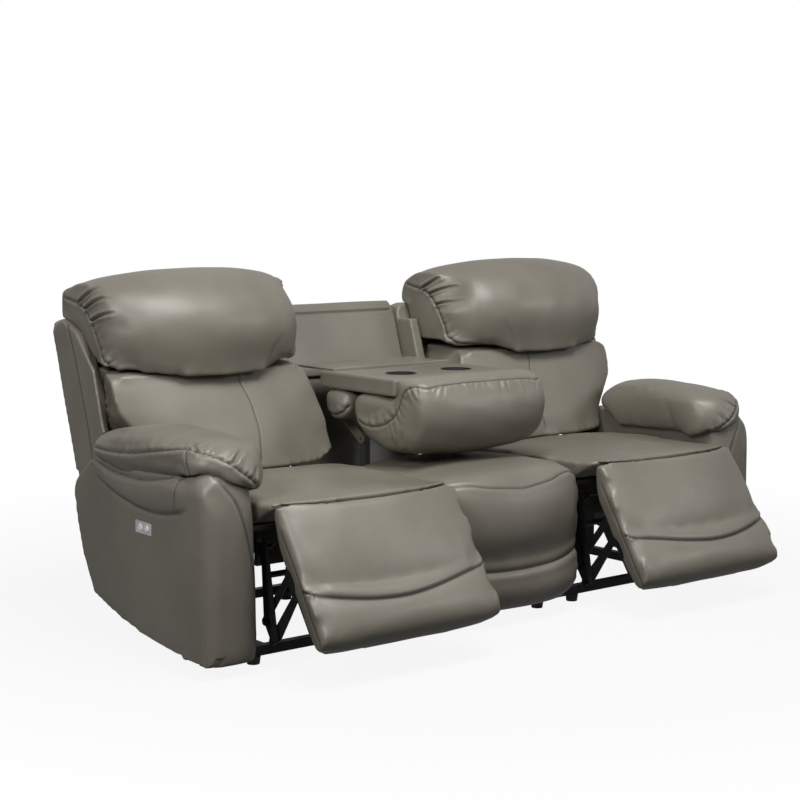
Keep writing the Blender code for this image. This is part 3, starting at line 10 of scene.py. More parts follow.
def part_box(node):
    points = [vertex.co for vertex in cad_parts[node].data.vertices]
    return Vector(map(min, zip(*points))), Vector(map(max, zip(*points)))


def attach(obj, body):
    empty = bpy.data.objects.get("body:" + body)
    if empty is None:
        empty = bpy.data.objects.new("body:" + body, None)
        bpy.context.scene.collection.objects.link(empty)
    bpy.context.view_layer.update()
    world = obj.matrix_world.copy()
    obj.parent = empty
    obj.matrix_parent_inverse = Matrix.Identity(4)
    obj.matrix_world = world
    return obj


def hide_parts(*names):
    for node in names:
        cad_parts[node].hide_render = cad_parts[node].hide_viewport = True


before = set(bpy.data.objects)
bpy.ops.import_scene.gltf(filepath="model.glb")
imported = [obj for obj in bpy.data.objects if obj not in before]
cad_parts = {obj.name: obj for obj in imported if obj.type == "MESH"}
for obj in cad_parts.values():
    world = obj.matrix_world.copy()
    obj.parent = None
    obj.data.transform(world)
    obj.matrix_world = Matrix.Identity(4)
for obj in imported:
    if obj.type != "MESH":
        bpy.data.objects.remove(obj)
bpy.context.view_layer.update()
print("frame loaded")

scene = bpy.context.scene
scene.view_settings.view_transform = "Standard"


# Camera at the photograph's angle

cameraSettings = {
    "place": (-3.535, -4.2028, 1.291),
    "down": 6.64,  # degrees below the horizon
    "turn": -38.67,
    "lens": 78.96,
}


def setCamera(settings):
    data = bpy.data.cameras.new("camera")
    camera = bpy.data.objects.new("camera", data)
    scene.collection.objects.link(camera)
    camera.location = settings["place"]
    camera.rotation_euler = (
        math.radians(90 - settings["down"]),
        0,
        math.radians(settings["turn"]),
    )
    data.lens = settings["lens"]
    data.sensor_width = 36
    data.clip_start = 0.1
    data.clip_end = 100
    scene.camera = camera


setCamera(cameraSettings)


# Node helpers for the materials

def newMaterial(name):
    material = bpy.data.materials.new(name)
    material.use_nodes = True
    tree = material.node_tree
    tree.nodes.clear()
    out = tree.nodes.new("ShaderNodeOutputMaterial")
    shader = tree.nodes.new("ShaderNodeBsdfPrincipled")
    tree.links.new(shader.outputs["BSDF"], out.inputs["Surface"])
    place = tree.nodes.new("ShaderNodeTexCoord").outputs["Object"]
    return material, tree, shader, place


def addNode(tree, kind, **values):
    node = tree.nodes.new(kind)
    for key, value in values.items():
        setattr(node, key, value)
    return node


def noise(tree, place, scale, detail, rough, stretch=None):
    if stretch:
        mapping = addNode(tree, "ShaderNodeMapping")
        mapping.inputs["Scale"].default_value = stretch
        tree.links.new(place, mapping.inputs["Vector"])
        place = mapping.outputs["Vector"]
    node = addNode(tree, "ShaderNodeTexNoise")
    for key, value in (("Scale", scale), ("Detail", detail), ("Roughness", rough)):
        node.inputs[key].default_value = value
    tree.links.new(place, node.inputs["Vector"])
    return node.outputs["Fac"]


def sums(tree, operation, *values):
    node = addNode(tree, "ShaderNodeMath", operation=operation)
    for socket, value in zip(node.inputs, values):
        if isinstance(value, (int, float)):
            socket.default_value = value
        else:
            tree.links.new(value, socket)
    return node.outputs[0]


def ramp(tree, value, low, high, lowTo=0.0, highTo=1.0):
    node = addNode(tree, "ShaderNodeMapRange")
    for key, end in (("From Min", low), ("From Max", high), ("To Min", lowTo), ("To Max", highTo)):
        node.inputs[key].default_value = end
    tree.links.new(value, node.inputs["Value"])
    return node.outputs["Result"]


def blendColour(tree, share, first, second, kind="MIX"):
    node = addNode(tree, "ShaderNodeMix", data_type="RGBA", blend_type=kind)
    for socket, value in ((node.inputs[0], share), (node.inputs[6], first), (node.inputs[7], second)):
        if isinstance(value, (int, float)):
            socket.default_value = value
        elif isinstance(value, tuple):
            socket.default_value = (*value, 1)
        else:
            tree.links.new(value, socket)
    return node.outputs[2]


def toned(colour, share):
    return tuple(c * share for c in colour)


def surfaced(tree, shader, colour, rough):
    tree.links.new(colour, shader.inputs["Base Color"])
    tree.links.new(rough, shader.inputs["Roughness"])


def bumped(tree, shader, height, strength, distance):
    bump = addNode(tree, "ShaderNodeBump")
    bump.inputs["Strength"].default_value = strength
    bump.inputs["Distance"].default_value = distance
    tree.links.new(height, bump.inputs["Height"])
    tree.links.new(bump.outputs["Normal"], shader.inputs["Normal"])


# Leather: pebbled grain, soft colour drift, dark seam lines with thread beside them, and painted shade in
# the seams' grooves and in folds

seamReach = 0.03  # metres from a seam within which its distance is marked on the cover

leatherSettings = {
    "pale": (0.206, 0.188, 0.152),
    "deep": (0.161, 0.147, 0.117),
    "brown": (0.155, 0.130, 0.110),
    "thread": (0.10, 0.092, 0.08),
    "hole": (0.02, 0.018, 0.016),
    "coat": 0.18,
    "coatRough": 0.34,
    "grain": 620.0,  # cells per metre
    "stitch": 0.0062,  # metres from one stitch to the next
    "stitchRow": 0.0045,  # from the seam to its row of thread
}


def makeLeather(name, settings, rough, grainStrength):
    material, tree, shader, place = newMaterial(name)
    near, along, sewn, fold = (
        addNode(tree, "ShaderNodeAttribute", attribute_name=mark).outputs["Fac"]
        for mark in ("seamNear", "seamAlong", "sewn", "fold")
    )
    drift = noise(tree, place, 2.6, 3, 0.5)
    cloud = noise(tree, place, 9.0, 4, 0.6)
    colour = blendColour(tree, ramp(tree, drift, 0.36, 0.64), settings["deep"], settings["pale"])
    colour = blendColour(tree, ramp(tree, cloud, 0.5, 0.85, 0, 0.45), colour, settings["brown"])
    speck = noise(tree, place, 240, 2, 0.5)
    colour = blendColour(tree, ramp(tree, speck, 0.3, 0.75, 0.94, 1.05), (0, 0, 0), colour)
    # painted shade: the colour darkens where the fold mark is set, in folds, along the footrest tuck and
    # under the arm's ridge
    shade = ramp(tree, fold, 0, 1, 1.0, 0.16)
    colour = blendColour(tree, 1.0, colour, shade, "MULTIPLY")
    # along each seam the colour darkens to a thin line: painted shade of the seam's groove, together with
    # the dirt that gathers in it
    distance = sums(tree, "SUBTRACT", seamReach, near)
    line = ramp(tree, distance, 0.0012, 0.0034, 0.32, 1.0)
    colour = blendColour(tree, 1.0, colour, line, "MULTIPLY")
    row = sums(tree, "ABSOLUTE", sums(tree, "SUBTRACT", distance, settings["stitchRow"]))
    onRow = ramp(tree, row, 0.0004, 0.0011, 1.0, 0.0)
    beat = sums(tree, "FRACT", sums(tree, "DIVIDE", along, settings["stitch"]))
    thread = sums(tree, "MULTIPLY", onRow, ramp(tree, beat, 0.70, 0.78, 1.0, 0.0))
    thread = sums(tree, "MULTIPLY", thread, sewn)
    hole = sums(tree, "MULTIPLY", onRow, ramp(tree, beat, 0.72, 0.80, 0.0, 1.0))
    hole = sums(tree, "MULTIPLY", hole, sewn)
    colour = blendColour(tree, thread, colour, settings["thread"])
    colour = blendColour(tree, hole, colour, settings["hole"])
    cells = addNode(tree, "ShaderNodeTexVoronoi", feature="DISTANCE_TO_EDGE")
    cells.inputs["Scale"].default_value = settings["grain"]
    tree.links.new(place, cells.inputs["Vector"])
    pebble = ramp(tree, cells.outputs["Distance"], 0.0, 0.12, 0.0, 0.7)
    creases = noise(tree, place, 90, 5, 0.65)
    height = sums(tree, "MULTIPLY", pebble, 0.35)
    height = sums(tree, "ADD", height, sums(tree, "MULTIPLY", creases, 0.8))
    height = sums(tree, "ADD", height, sums(tree, "MULTIPLY", thread, 1.2))
    height = sums(tree, "SUBTRACT", height, sums(tree, "MULTIPLY", hole, 1.0))
    bumped(tree, shader, height, grainStrength, 0.0009)
    worn = noise(tree, place, 14, 4, 0.6)
    gloss = ramp(tree, worn, 0.3, 0.7, rough - 0.04, rough + 0.07)
    gloss = sums(tree, "ADD", gloss, sums(tree, "MULTIPLY", fold, 0.08))
    surfaced(tree, shader, colour, gloss)
    shader.inputs["Specular IOR Level"].default_value = 0.5
    shader.inputs["Coat Weight"].default_value = settings["coat"]
    shader.inputs["Coat Roughness"].default_value = settings["coatRough"]
    return material


leather = makeLeather("leather", leatherSettings, 0.38, 0.30)
# the arms and aprons are of a flatter hide; their slightly darker colour is painted shade, for the less
# light that falls on their sides
matchSettings = dict(
    leatherSettings,
    pale=(0.196, 0.179, 0.146),
    deep=(0.152, 0.139, 0.112),
    brown=(0.147, 0.123, 0.101),
)
matchLeather = makeLeather("leather_match", matchSettings, 0.42, 0.22)


# Metals, plastics and cloth

def makePaintedSteel(name, colour, rough):
    material, tree, shader, place = newMaterial(name)
    dust = noise(tree, place, 26, 5, 0.7)
    dusty = tuple(c * 1.9 + 0.002 for c in colour)
    paint = blendColour(tree, ramp(tree, dust, 0.5, 0.8, 0, 0.6), colour, dusty)
    surfaced(tree, shader, paint, ramp(tree, dust, 0.3, 0.7, rough - 0.06, rough + 0.10))
    shader.inputs["Specular IOR Level"].default_value = 0.3
    bumped(tree, shader, noise(tree, place, 420, 3, 0.6), 0.25, 0.0004)
    return material


def makeBrushedMetal(name, colour, rough):
    material, tree, shader, place = newMaterial(name)
    streaks = noise(tree, place, 60, 3, 0.6, stretch=(30, 1.5, 30))
    metal = blendColour(tree, ramp(tree, streaks, 0.3, 0.7), colour, toned(colour, 0.8))
    surfaced(tree, shader, metal, ramp(tree, streaks, 0.3, 0.7, rough, rough + 0.12))
    shader.inputs["Metallic"].default_value = 0.9
    bumped(tree, shader, streaks, 0.12, 0.0003)
    return material


def makePlastic(name, colour, rough):
    material, tree, shader, place = newMaterial(name)
    texture = noise(tree, place, 900, 2, 0.5)
    cloud = noise(tree, place, 20, 3, 0.5)
    tint = blendColour(tree, ramp(tree, cloud, 0.3, 0.7), colour, toned(colour, 1.35))
    surfaced(tree, shader, tint, ramp(tree, cloud, 0.3, 0.7, rough, rough + 0.08))
    bumped(tree, shader, texture, 0.2, 0.0003)
    return material


def makeCloth(name, colour):
    material, tree, shader, place = newMaterial(name)
    mesh = addNode(tree, "ShaderNodeTexVoronoi", feature="F1")
    mesh.inputs["Scale"].default_value = 800
    mesh.inputs["Randomness"].default_value = 0.15
    tree.links.new(place, mesh.inputs["Vector"])
    weave = mesh.outputs["Distance"]
    lint = noise(tree, place, 30, 4, 0.6)
    fabric = blendColour(tree, ramp(tree, weave, 0.1, 0.6), toned(colour, 1.5), colour)
    fabric = blendColour(tree, ramp(tree, lint, 0.5, 0.9, 0, 0.5), fabric, toned(colour, 2.2))
    tree.links.new(fabric, shader.inputs["Base Color"])
    shader.inputs["Roughness"].default_value = 0.9
    shader.inputs["Sheen Weight"].default_value = 0.2
    bumped(tree, shader, weave, 0.4, 0.0005)
    return material


blackSteel = makePaintedSteel("black_steel", (0.012, 0.012, 0.013), 0.42)
satinMetal = makeBrushedMetal("satin_metal", (0.42, 0.42, 0.43), 0.30)
plateGrey = makePlastic("plate_grey", (0.50, 0.495, 0.50), 0.35)
buttonGrey = makePlastic("button_grey", (0.78, 0.775, 0.77), 0.30)
blackPlastic = makePlastic("black_plastic", (0.018, 0.018, 0.019), 0.45)
darkCloth = makeCloth("dark_cloth", (0.03, 0.029, 0.027))
print("materials made")


# Mesh helpers

def bell(values, width):
    # one at zero, and fading out on both sides
    return np.exp(-((values / width) ** 2))


def unit(values):
    return np.clip(values, 0, 1)


def vertexValues(mesh, key):
    values = np.zeros(len(mesh.vertices) * 3, np.float32)
    mesh.vertices.foreach_get(key, values)
    return values.reshape(-1, 3).astype(float)


def pointsOf(piece):
    return vertexValues(piece.data, "co")


def normalsOf(piece):
    piece.data.update()
    return vertexValues(piece.data, "normal")


def setPoints(piece, points):
    piece.data.vertices.foreach_set("co", points.astype(np.float32).ravel())
    piece.data.update()


def edgesOf(piece, size):
    # both ends of every edge, and how many edges meet in each point
    edges = np.zeros(len(piece.data.edges) * 2, np.int64)
    piece.data.edges.foreach_get("vertices", edges)
    a, b = edges[0::2], edges[1::2]
    return a, b, np.bincount(np.concatenate([a, b]), minlength=size).astype(float)


def weldedSolid(name):
    # the CAD mesh with one point where several coincide
    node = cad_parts[name]
    index, places = [], {}
    for point in np.round(pointsOf(node), 5).tolist():
        index.append(places.setdefault(tuple(point), len(places)))
    rings = [tuple(index[i] for i in face.vertices) for face in node.data.polygons]
    return np.array(list(places)), [ring for ring in rings if len(set(ring)) == len(ring)]


def newPiece(name, points, faces):
    mesh = bpy.data.meshes.new(name)
    mesh.from_pydata([tuple(p) for p in points], [], faces)
    mesh.update()
    piece = bpy.data.objects.new(name, mesh)
    scene.collection.objects.link(piece)
    return piece


def bakedModifiers(piece):
    graph = bpy.context.evaluated_depsgraph_get()
    mesh = bpy.data.meshes.new_from_object(piece.evaluated_get(graph))
    piece.modifiers.clear()
    old = piece.data
    piece.data = mesh
    bpy.data.meshes.remove(old)
    mesh.name = piece.name


def smoothed(piece, rounds, share=0.5):
    # share may be one number or one for each point
    points = pointsOf(piece)
    share = np.asarray(share, float).reshape(-1, 1)
    size = len(points)
    a, b, count = edgesOf(piece, size)
    for _ in range(rounds):
        total = np.zeros_like(points)
        for axis in range(3):
            one, other = np.bincount(a, points[b, axis], size), np.bincount(b, points[a, axis], size)
            total[:, axis] = one + other
        points += share * (total / count[:, None] - points)
    setPoints(piece, points)


def modified(piece, kind, **values):
    modifier = piece.modifiers.new("step", kind)
    for key, value in values.items():
        setattr(modifier, key, value)
    bakedModifiers(piece)


def smoothPath(points, step=0.006):
    # a smooth curve through the points, with a sample every few millimetres
    points = [np.array(p, float) for p in points]
    if len(points) == 2:
        run = points[1] - points[0]
        count = max(2, int(np.linalg.norm(run) / step))
        return np.array([points[0] + run * t for t in np.linspace(0, 1, count + 1)])
    ends = [2 * points[0] - points[1], *points, 2 * points[-1] - points[-2]]
    samples = []
    for i in range(1, len(ends) - 2):
        p, q, r, s = ends[i - 1 : i + 3]
        count = max(2, int(np.linalg.norm(r - q) / step))
        for t in np.linspace(0, 1, count, endpoint=False):
            bend, twist = 2 * p - 5 * q + 4 * r - s, 3 * q - p - 3 * r + s
            samples.append(0.5 * (2 * q + (r - p) * t + bend * t * t + twist * t**3))
    samples.append(points[-1])
    return np.array(samples)


def onSurface(tree, path):
    # each sample drops to the nearest place on the piece
    return np.array([tuple(tree.find_nearest(Vector(p))[0]) for p in path])


def distanceTo(points, path, reach):
    # distance to the path and length along it, both worked out only near the path
    low, high = path.min(0) - reach, path.max(0) + reach
    near = np.where(((points > low) & (points < high)).all(1))[0]
    distance = np.full(len(points), 1.0)
    along = np.zeros(len(points))
    if not len(near):
        return distance, along
    start, run = path[:-1], path[1:] - path[:-1]
    length = np.maximum(np.linalg.norm(run, axis=1), 1e-9)
    reached = np.concatenate([[0], np.cumsum(length)])[:-1]
    blocks = max(1, len(near) * len(run) // 1500000)  # in parts that fit the memory
    for block in np.array_split(near, blocks):
        gap = points[block][:, None, :] - start[None]
        t = unit((gap * run[None]).sum(2) / (length**2)[None])
        away = gap - t[..., None] * run[None]
        d = np.linalg.norm(away, axis=2)
        best = d.argmin(1)
        row = np.arange(len(block))
        distance[block] = d[row, best]
        along[block] = reached[best] + t[row, best] * length[best]
    return distance, along


def standsOut(points, solid):
    # how far each point stands out of the solid, less than zero inside it, and the nearest place
    out = np.zeros(len(points))
    foot = np.zeros_like(points)
    for i, point in enumerate(points):
        place, normal, _, gap = solid.find_nearest(Vector(point))
        away = Vector(point) - place
        out[i] = gap if away.dot(normal) > 0 else -gap
        foot[i] = place
    return out, foot


def heldInSolid(points, solid, proud):
    # no point stands further out of the CAD solid than its allowance, with no kink where it is held
    out, foot = standsOut(points, solid)
    over = out > 1e-6
    share = (proud[over] * np.tanh(out[over] / proud[over]) / out[over])[:, None]
    points[over] = foot[over] + (points[over] - foot[over]) * share
    return points


def blurred(piece, values, rounds):
    # a value at each point, averaged with its neighbours' again and again
    size = len(values)
    a, b, count = edgesOf(piece, size)
    for _ in range(rounds):
        total = np.bincount(a, values[b], size) + np.bincount(b, values[a], size)
        values = 0.4 * values + 0.6 * total / count
    return values


def grownBack(piece, solid, rounds):
    # what smoothing took off the whole form is put back, and the small shapes stay
    points = pointsOf(piece)
    out, _ = standsOut(points, solid)
    reach = 0.03
    field = blurred(piece, np.clip(out, -reach, reach), max(rounds, 20))
    setPoints(piece, points - normalsOf(piece) * field[:, None])


def sharpEdges(points, faces, angle):
    # places along the solid's own edges that turn by more than the angle
    points = np.array(points)
    normals = []
    for face in faces:
        ring = points[list(face)]
        normal = np.cross(ring, np.roll(ring, -1, axis=0)).sum(0)
        normals.append(normal / max(np.linalg.norm(normal), 1e-12))
    sides = {}
    for number, face in enumerate(faces):
        for a, b in zip(face, (*face[1:], face[0])):
            sides.setdefault((min(a, b), max(a, b)), []).append(number)
    limit = math.cos(math.radians(angle))
    places = []
    for (a, b), (first, *rest) in sides.items():
        if rest and np.dot(normals[first], normals[rest[0]]) < limit:
            count = max(2, int(np.linalg.norm(points[b] - points[a]) / 0.0015))
            places += [points[a] + (points[b] - points[a]) * t for t in np.linspace(0, 1, count)]
    return places


def gapTo(points, places):
    # distance from each point to the nearest of the places, and that place
    if not len(places):
        return np.full(len(points), 1.0), points
    tree = KDTree(len(places))
    for i, place in enumerate(places):
        tree.insert(place, i)
    tree.balance()
    found = [tree.find(p) for p in points]
    return np.array([f[2] for f in found]), np.array([tuple(f[0]) for f in found])


def pulledAlong(piece, pulls):
    # the skin near each line is drawn by a set amount, which fades out around the line
    points = pointsOf(piece)
    for line, radius, move in pulls:
        path = smoothPath(line) if len(line) > 1 else np.array(line[0]) + [[0, 0, 0], [0.001] * 3]
        distance, _ = distanceTo(points, path, 3 * radius)
        near = bell(distance, radius) * (distance < 0.9)
        points += near[:, None] * np.array(move)
    setPoints(piece, points)


nearby = 0.03  # metres between the boxes of two pieces that can touch
solids = {}  # welded meshes of the CAD nodes, by name


def solidOf(name):
    if name not in solids:
        solids[name] = weldedSolid(name)
    return solids[name]


def treeOfOthers(node):
    # everything in the frame but this node, to keep a cover clear of its neighbours
    low, high = (np.array(c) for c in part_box(node))
    points, faces = [], []
    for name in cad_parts:
        if name == node:
            continue
        itsLow, itsHigh = (np.array(c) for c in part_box(name))
        if (itsLow > high + nearby).any() or (itsHigh < low - nearby).any():
            continue
        more, rings = solidOf(name)
        faces += [tuple(i + len(points) for i in ring) for ring in rings]
        points += [tuple(p) for p in more]
    return BVHTree.FromPolygons(points, faces) if faces else None


class Hide:
    # one leather cover while it is being worked: its mesh and what is marked on it
    def __init__(self, piece):
        self.piece = piece
        self.points = pointsOf(piece)
        self.normals = normalsOf(piece)
        self.tree = BVHTree.FromObject(piece, bpy.context.evaluated_depsgraph_get())
        count = len(self.points)
        self.across = np.full(count, 1.0)
        self.along = np.zeros(count)
        self.sewn = np.zeros(count)
        # painted shade, darker in folds, creases and tucks
        self.fold = np.zeros(count)
        self.move = np.zeros(count)

    def seam(self, points, depth, width, swell, sewn=False):
        path = onSurface(self.tree, smoothPath(points))
        distance, along = distanceTo(self.points, path, 0.06)
        self.move -= depth * bell(distance, width)
        self.move += swell * bell(distance - 3.2 * width, 2.2 * width)
        closer = distance < self.across
        self.across[closer] = distance[closer]
        self.along[closer] = along[closer]
        self.sewn[closer] = 1.0 if sewn else 0.0
        return path

    def crease(self, points, depth, width, spread, ridge, dark):
        # a fold that is sharp at its root and fades out at its tip
        path = onSurface(self.tree, smoothPath(points))
        distance, along = distanceTo(self.points, path, 0.05)
        length = np.linalg.norm(np.diff(path, axis=0), axis=1).sum()
        t = unit(along / max(length, 1e-6))
        fade = unit(1 - t) ** 0.8 * unit(along / 0.004 + 0.4)
        fade = np.where(distance < 0.2, fade, 0)
        wide = width * (1 + (spread - 1) * t)
        self.move -= depth * fade * bell(distance, wide)
        self.move += ridge * depth * fade * bell(distance - 2.1 * wide, 1.3 * wide)
        # painted shade along the fold, darkest at its root
        self.paintShade(dark * fade * bell(distance, 0.8 * wide))

    def paintShade(self, values):
        # painted shade: the hide is painted darker where folds, tucks and ridges shade it
        self.fold = np.maximum(self.fold, values)

    def gathers(self, path, towards, count, length, depth, width, seed, share, dark):
        # small folds that run from the seam into the panel on the side of "towards"
        random = np.random.default_rng(seed)
        size = len(path) - 1
        for k in range(count):
            place = share[0] + (share[1] - share[0]) * (k + 0.5 + random.uniform(-0.35, 0.35)) / count
            i = int(np.clip(place * size, 1, size - 1))
            root = path[i]
            tangent = path[min(i + 1, size)] - path[i - 1]
            tangent /= max(np.linalg.norm(tangent), 1e-9)
            normal = np.array(self.tree.find_nearest(Vector(root))[1])
            side = np.cross(normal, tangent)
            if np.dot(side, np.array(towards) - root) < 0:
                side = -side
            side = side + tangent * random.uniform(-0.45, 0.45)
            run = length * random.uniform(0.55, 1.25)
            tip = root + side * run
            middle = root + side * run * 0.5 + tangent * run * random.uniform(-0.12, 0.12)
            depths, widths = depth * random.uniform(0.5, 1.3), width * random.uniform(0.75, 1.3)
            self.crease([root, middle, tip], depths, widths, 2.0, 0.5, dark)

    def ripples(self, size, depth, seed):
        # the slight unevenness of stuffed leather
        random = np.random.default_rng(seed)
        total = np.zeros(len(self.points))
        waves = 14
        for _ in range(waves):
            wave = random.normal(size=3)
            wave /= np.linalg.norm(wave)
            wave *= 2 * math.pi / (size * random.uniform(0.6, 1.8))
            total += np.sin(self.points @ wave + random.uniform(0, 6.28))
        self.move += depth * total / math.sqrt(waves)

    def finish(self):
        setPoints(self.piece, self.points + self.normals * self.move[:, None])
        for name, values in (
            ("seamNear", np.clip(seamReach - self.across, 0, seamReach)),
            ("seamAlong", self.along),
            ("sewn", self.sewn),
            ("fold", unit(self.fold)),
        ):
            attribute = self.piece.data.attributes.new(name, "FLOAT", "POINT")
            attribute.data.foreach_set("value", values.astype(np.float32))
        return self.piece


# Filling a cover: the skin is blown up a little by a cloth simulation

fillSettings = {
    "pressure": 5.0,
    "frames": 14,
    "mass": 0.3,
    "tension": 18.0,
    "bending": 1.2,
}


def filled(piece, tied, cap):
    # tied points stay where they are: seams, and what rests on the frame
    start = pointsOf(piece)
    group = piece.vertex_groups.new(name="tied")
    for i in np.where(tied > 0.02)[0].tolist():
        group.add([i], float(tied[i]), "REPLACE")
    modifier = piece.modifiers.new("filling", "CLOTH")
    cloth = modifier.settings
    cloth.quality = 5
    cloth.mass = fillSettings["mass"]
    cloth.tension_stiffness = cloth.compression_stiffness = fillSettings["tension"]
    cloth.bending_stiffness = fillSettings["bending"]
    cloth.use_pressure = True
    cloth.uniform_pressure_force = fillSettings["pressure"]
    cloth.effector_weights.gravity = 0
    cloth.vertex_group_mass = "tied"
    modifier.collision_settings.use_collision = False
    modifier.collision_settings.use_self_collision = False
    modifier.point_cache.frame_start = 1
    modifier.point_cache.frame_end = fillSettings["frames"]
    for number in range(1, fillSettings["frames"] + 1):
        scene.frame_set(number)
    bakedModifiers(piece)
    end = pointsOf(piece)
    scene.frame_set(1)
    move = end - start
    length = np.linalg.norm(move, axis=1)
    scale = np.where(length > cap, cap / np.maximum(length, 1e-9), 1.0)
    piece.vertex_groups.clear()
    setPoints(piece, start + move * scale[:, None])
    smoothed(piece, 2)


coverSettings = {
    "edge": 0.018,  # how far the crispness of an edge reaches
    "even": 8,  # rounds of smoothing at the end
    "drawn": 0.004,
    "cap": 0.022,  # the furthest a point moves as the cover fills
    "proud": 0.008,  # the furthest it stands out of the solid
}


def coverFrom(node, settings, seams=(), name=None):
    # the skin of a CAD solid, drawn in a little, filled, and held to the solid's outside
    settings = dict(coverSettings, **settings)
    points, faces = solidOf(node)
    piece = newPiece(name or node + "_leather", points, faces)
    solid = BVHTree.FromPolygons([tuple(p) for p in points], faces)
    modified(piece, "REMESH", mode="VOXEL", voxel_size=settings["voxel"], use_smooth_shade=True)
    corners = sharpEdges(points, faces, settings["crisp"]) if "crisp" in settings else []
    # the steps of the remesh go: the skin lies on the solid, and its edges on the solid's edges
    _, start = standsOut(pointsOf(piece), solid)
    gap, edge = gapTo(start, corners)
    onEdge = gap < 0.6 * settings["voxel"]
    start[onEdge] = edge[onEdge]
    setPoints(piece, start)
    soft = np.clip((gap - 0.003) / settings["edge"], 0.06, 1)
    smoothed(piece, settings["smooth"], 0.5 * soft)
    if settings.get("fill"):
        start = pointsOf(piece)
        normals = normalsOf(piece)
        tied = np.zeros(len(start))
        for seam in seams:
            distance, _ = distanceTo(start, smoothPath(seam), 0.05)
            tied = np.maximum(tied, bell(distance, 1.5 * settings["voxel"]))
        setPoints(piece, start - normals * (settings["drawn"] * soft)[:, None])
        filled(piece, np.maximum(tied, 1 - soft), settings["cap"])
    grownBack(piece, solid, settings["smooth"])
    modified(piece, "SUBSURF", levels=1, render_levels=1)
    points = pointsOf(piece)
    proud = np.full(len(points), settings["proud"])
    others = treeOfOthers(node)
    if others:
        near = np.array([others.find_nearest(Vector(p))[3] for p in points])
        proud = np.clip(near - 0.0015, 0.0002, settings["proud"])
        proud = np.minimum(proud, blurred(piece, proud, 20))
    setPoints(piece, heldInSolid(points, solid, proud))
    gap, _ = gapTo(pointsOf(piece), corners)
    smoothed(piece, settings["even"], 0.5 * np.clip((gap - 0.002) / 0.012, 0.1, 1))
    pulledAlong(piece, settings.get("pulls", ()))
    return piece


def mirroredPiece(piece, name):
    mesh = piece.data.copy()
    twin = bpy.data.objects.new(name, mesh)
    scene.collection.objects.link(twin)
    points = pointsOf(twin)
    points[:, 0] *= -1
    setPoints(twin, points)
    mesh.flip_normals()
    mesh.update()
    return twin


def dressed(piece, node, body, material):
    piece.data.materials.clear()
    piece.data.materials.append(material)
    piece.data.shade_smooth()
    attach(piece, body)
    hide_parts(node)


def bothSides(piece, part, body, material):
    # the left piece, and its mirror image on the right
    dressed(piece, "left_" + part, body.replace("SIDE", "left"), material)
    twin = mirroredPiece(piece, "right_" + part + "_leather")
    dressed(twin, "right_" + part, body.replace("SIDE", "right"), material)


# Head pillows

headPillow = {
    "voxel": 0.006,
    "crisp": 48,
    "edge": 0.014,
    "smooth": 90,
    "even": 26,
    "fill": 0.85,
    "drawn": 0.005,
    "gusset": [
        (-1.012, 0.56, 0.985), (-1.016, 0.483, 0.971), (-1.017, 0.445, 0.958), (-1.017, 0.398, 0.915),
        (-1.016, 0.364, 0.854), (-1.012, 0.351, 0.818), (-0.978, 0.325, 0.792), (-0.95, 0.295, 0.783),
    ],
    "under": [
        (-0.978, 0.325, 0.788), (-0.943, 0.293, 0.778), (-0.871, 0.262, 0.767), (-0.799, 0.248, 0.758),
        (-0.73, 0.243, 0.754), (-0.66, 0.235, 0.752), (-0.522, 0.248, 0.760), (-0.413, 0.277, 0.773),
        (-0.366, 0.293, 0.780), (-0.335, 0.32, 0.783),
    ],
    "pulls": [
        (
            [(-0.92, 0.255, 0.782), (-0.8, 0.236, 0.774), (-0.66, 0.222, 0.772), (-0.5, 0.236, 0.774)],
            0.035,
            (0, -0.003, -0.017),
        ),
        ([(-0.335, 0.32, 0.79)], 0.045, (0.008, 0.008, -0.014)),
        ([(-0.315, 0.30, 0.84), (-0.305, 0.28, 0.90), (-0.305, 0.31, 0.97)], 0.065, (-0.026, 0.010, 0)),
        ([(-0.315, 0.36, 1.0)], 0.07, (-0.022, 0.010, -0.008)),
        ([(-0.99, 0.30, 0.84), (-0.995, 0.29, 0.90)], 0.05, (0.012, 0.008, 0)),
        ([(-0.99, 0.32, 0.79)], 0.04, (-0.006, 0, -0.012)),
        ([(-1.017, 0.56, 0.985)], 0.03, (-0.006, 0.006, 0.010)),
        ([(-0.8, 0.38, 1.065), (-0.5, 0.38, 1.065)], 0.10, (0, 0, 0.006)),
    ],
    "folds": [
        [(-1.016, 0.477, 0.974), (-1.008, 0.43, 1.0), (-0.991, 0.38, 1.025)],
        [(-1.017, 0.441, 0.956), (-1.004, 0.385, 0.98), (-0.987, 0.331, 0.996)],
        [(-1.017, 0.405, 0.922), (-1.006, 0.35, 0.942), (-0.992, 0.303, 0.954)],
    ],
    "ripple": 0.0006,
}


backMiddle = -0.6605  # across the sofa, of a left-hand back
padMiddle = -0.6035  # and of a left-hand footrest pad


def otherEnd(points, middle=backMiddle):
    # the same line at the other end of a left-hand cushion
    return [(2 * middle - x, y, z) for x, y, z in points]


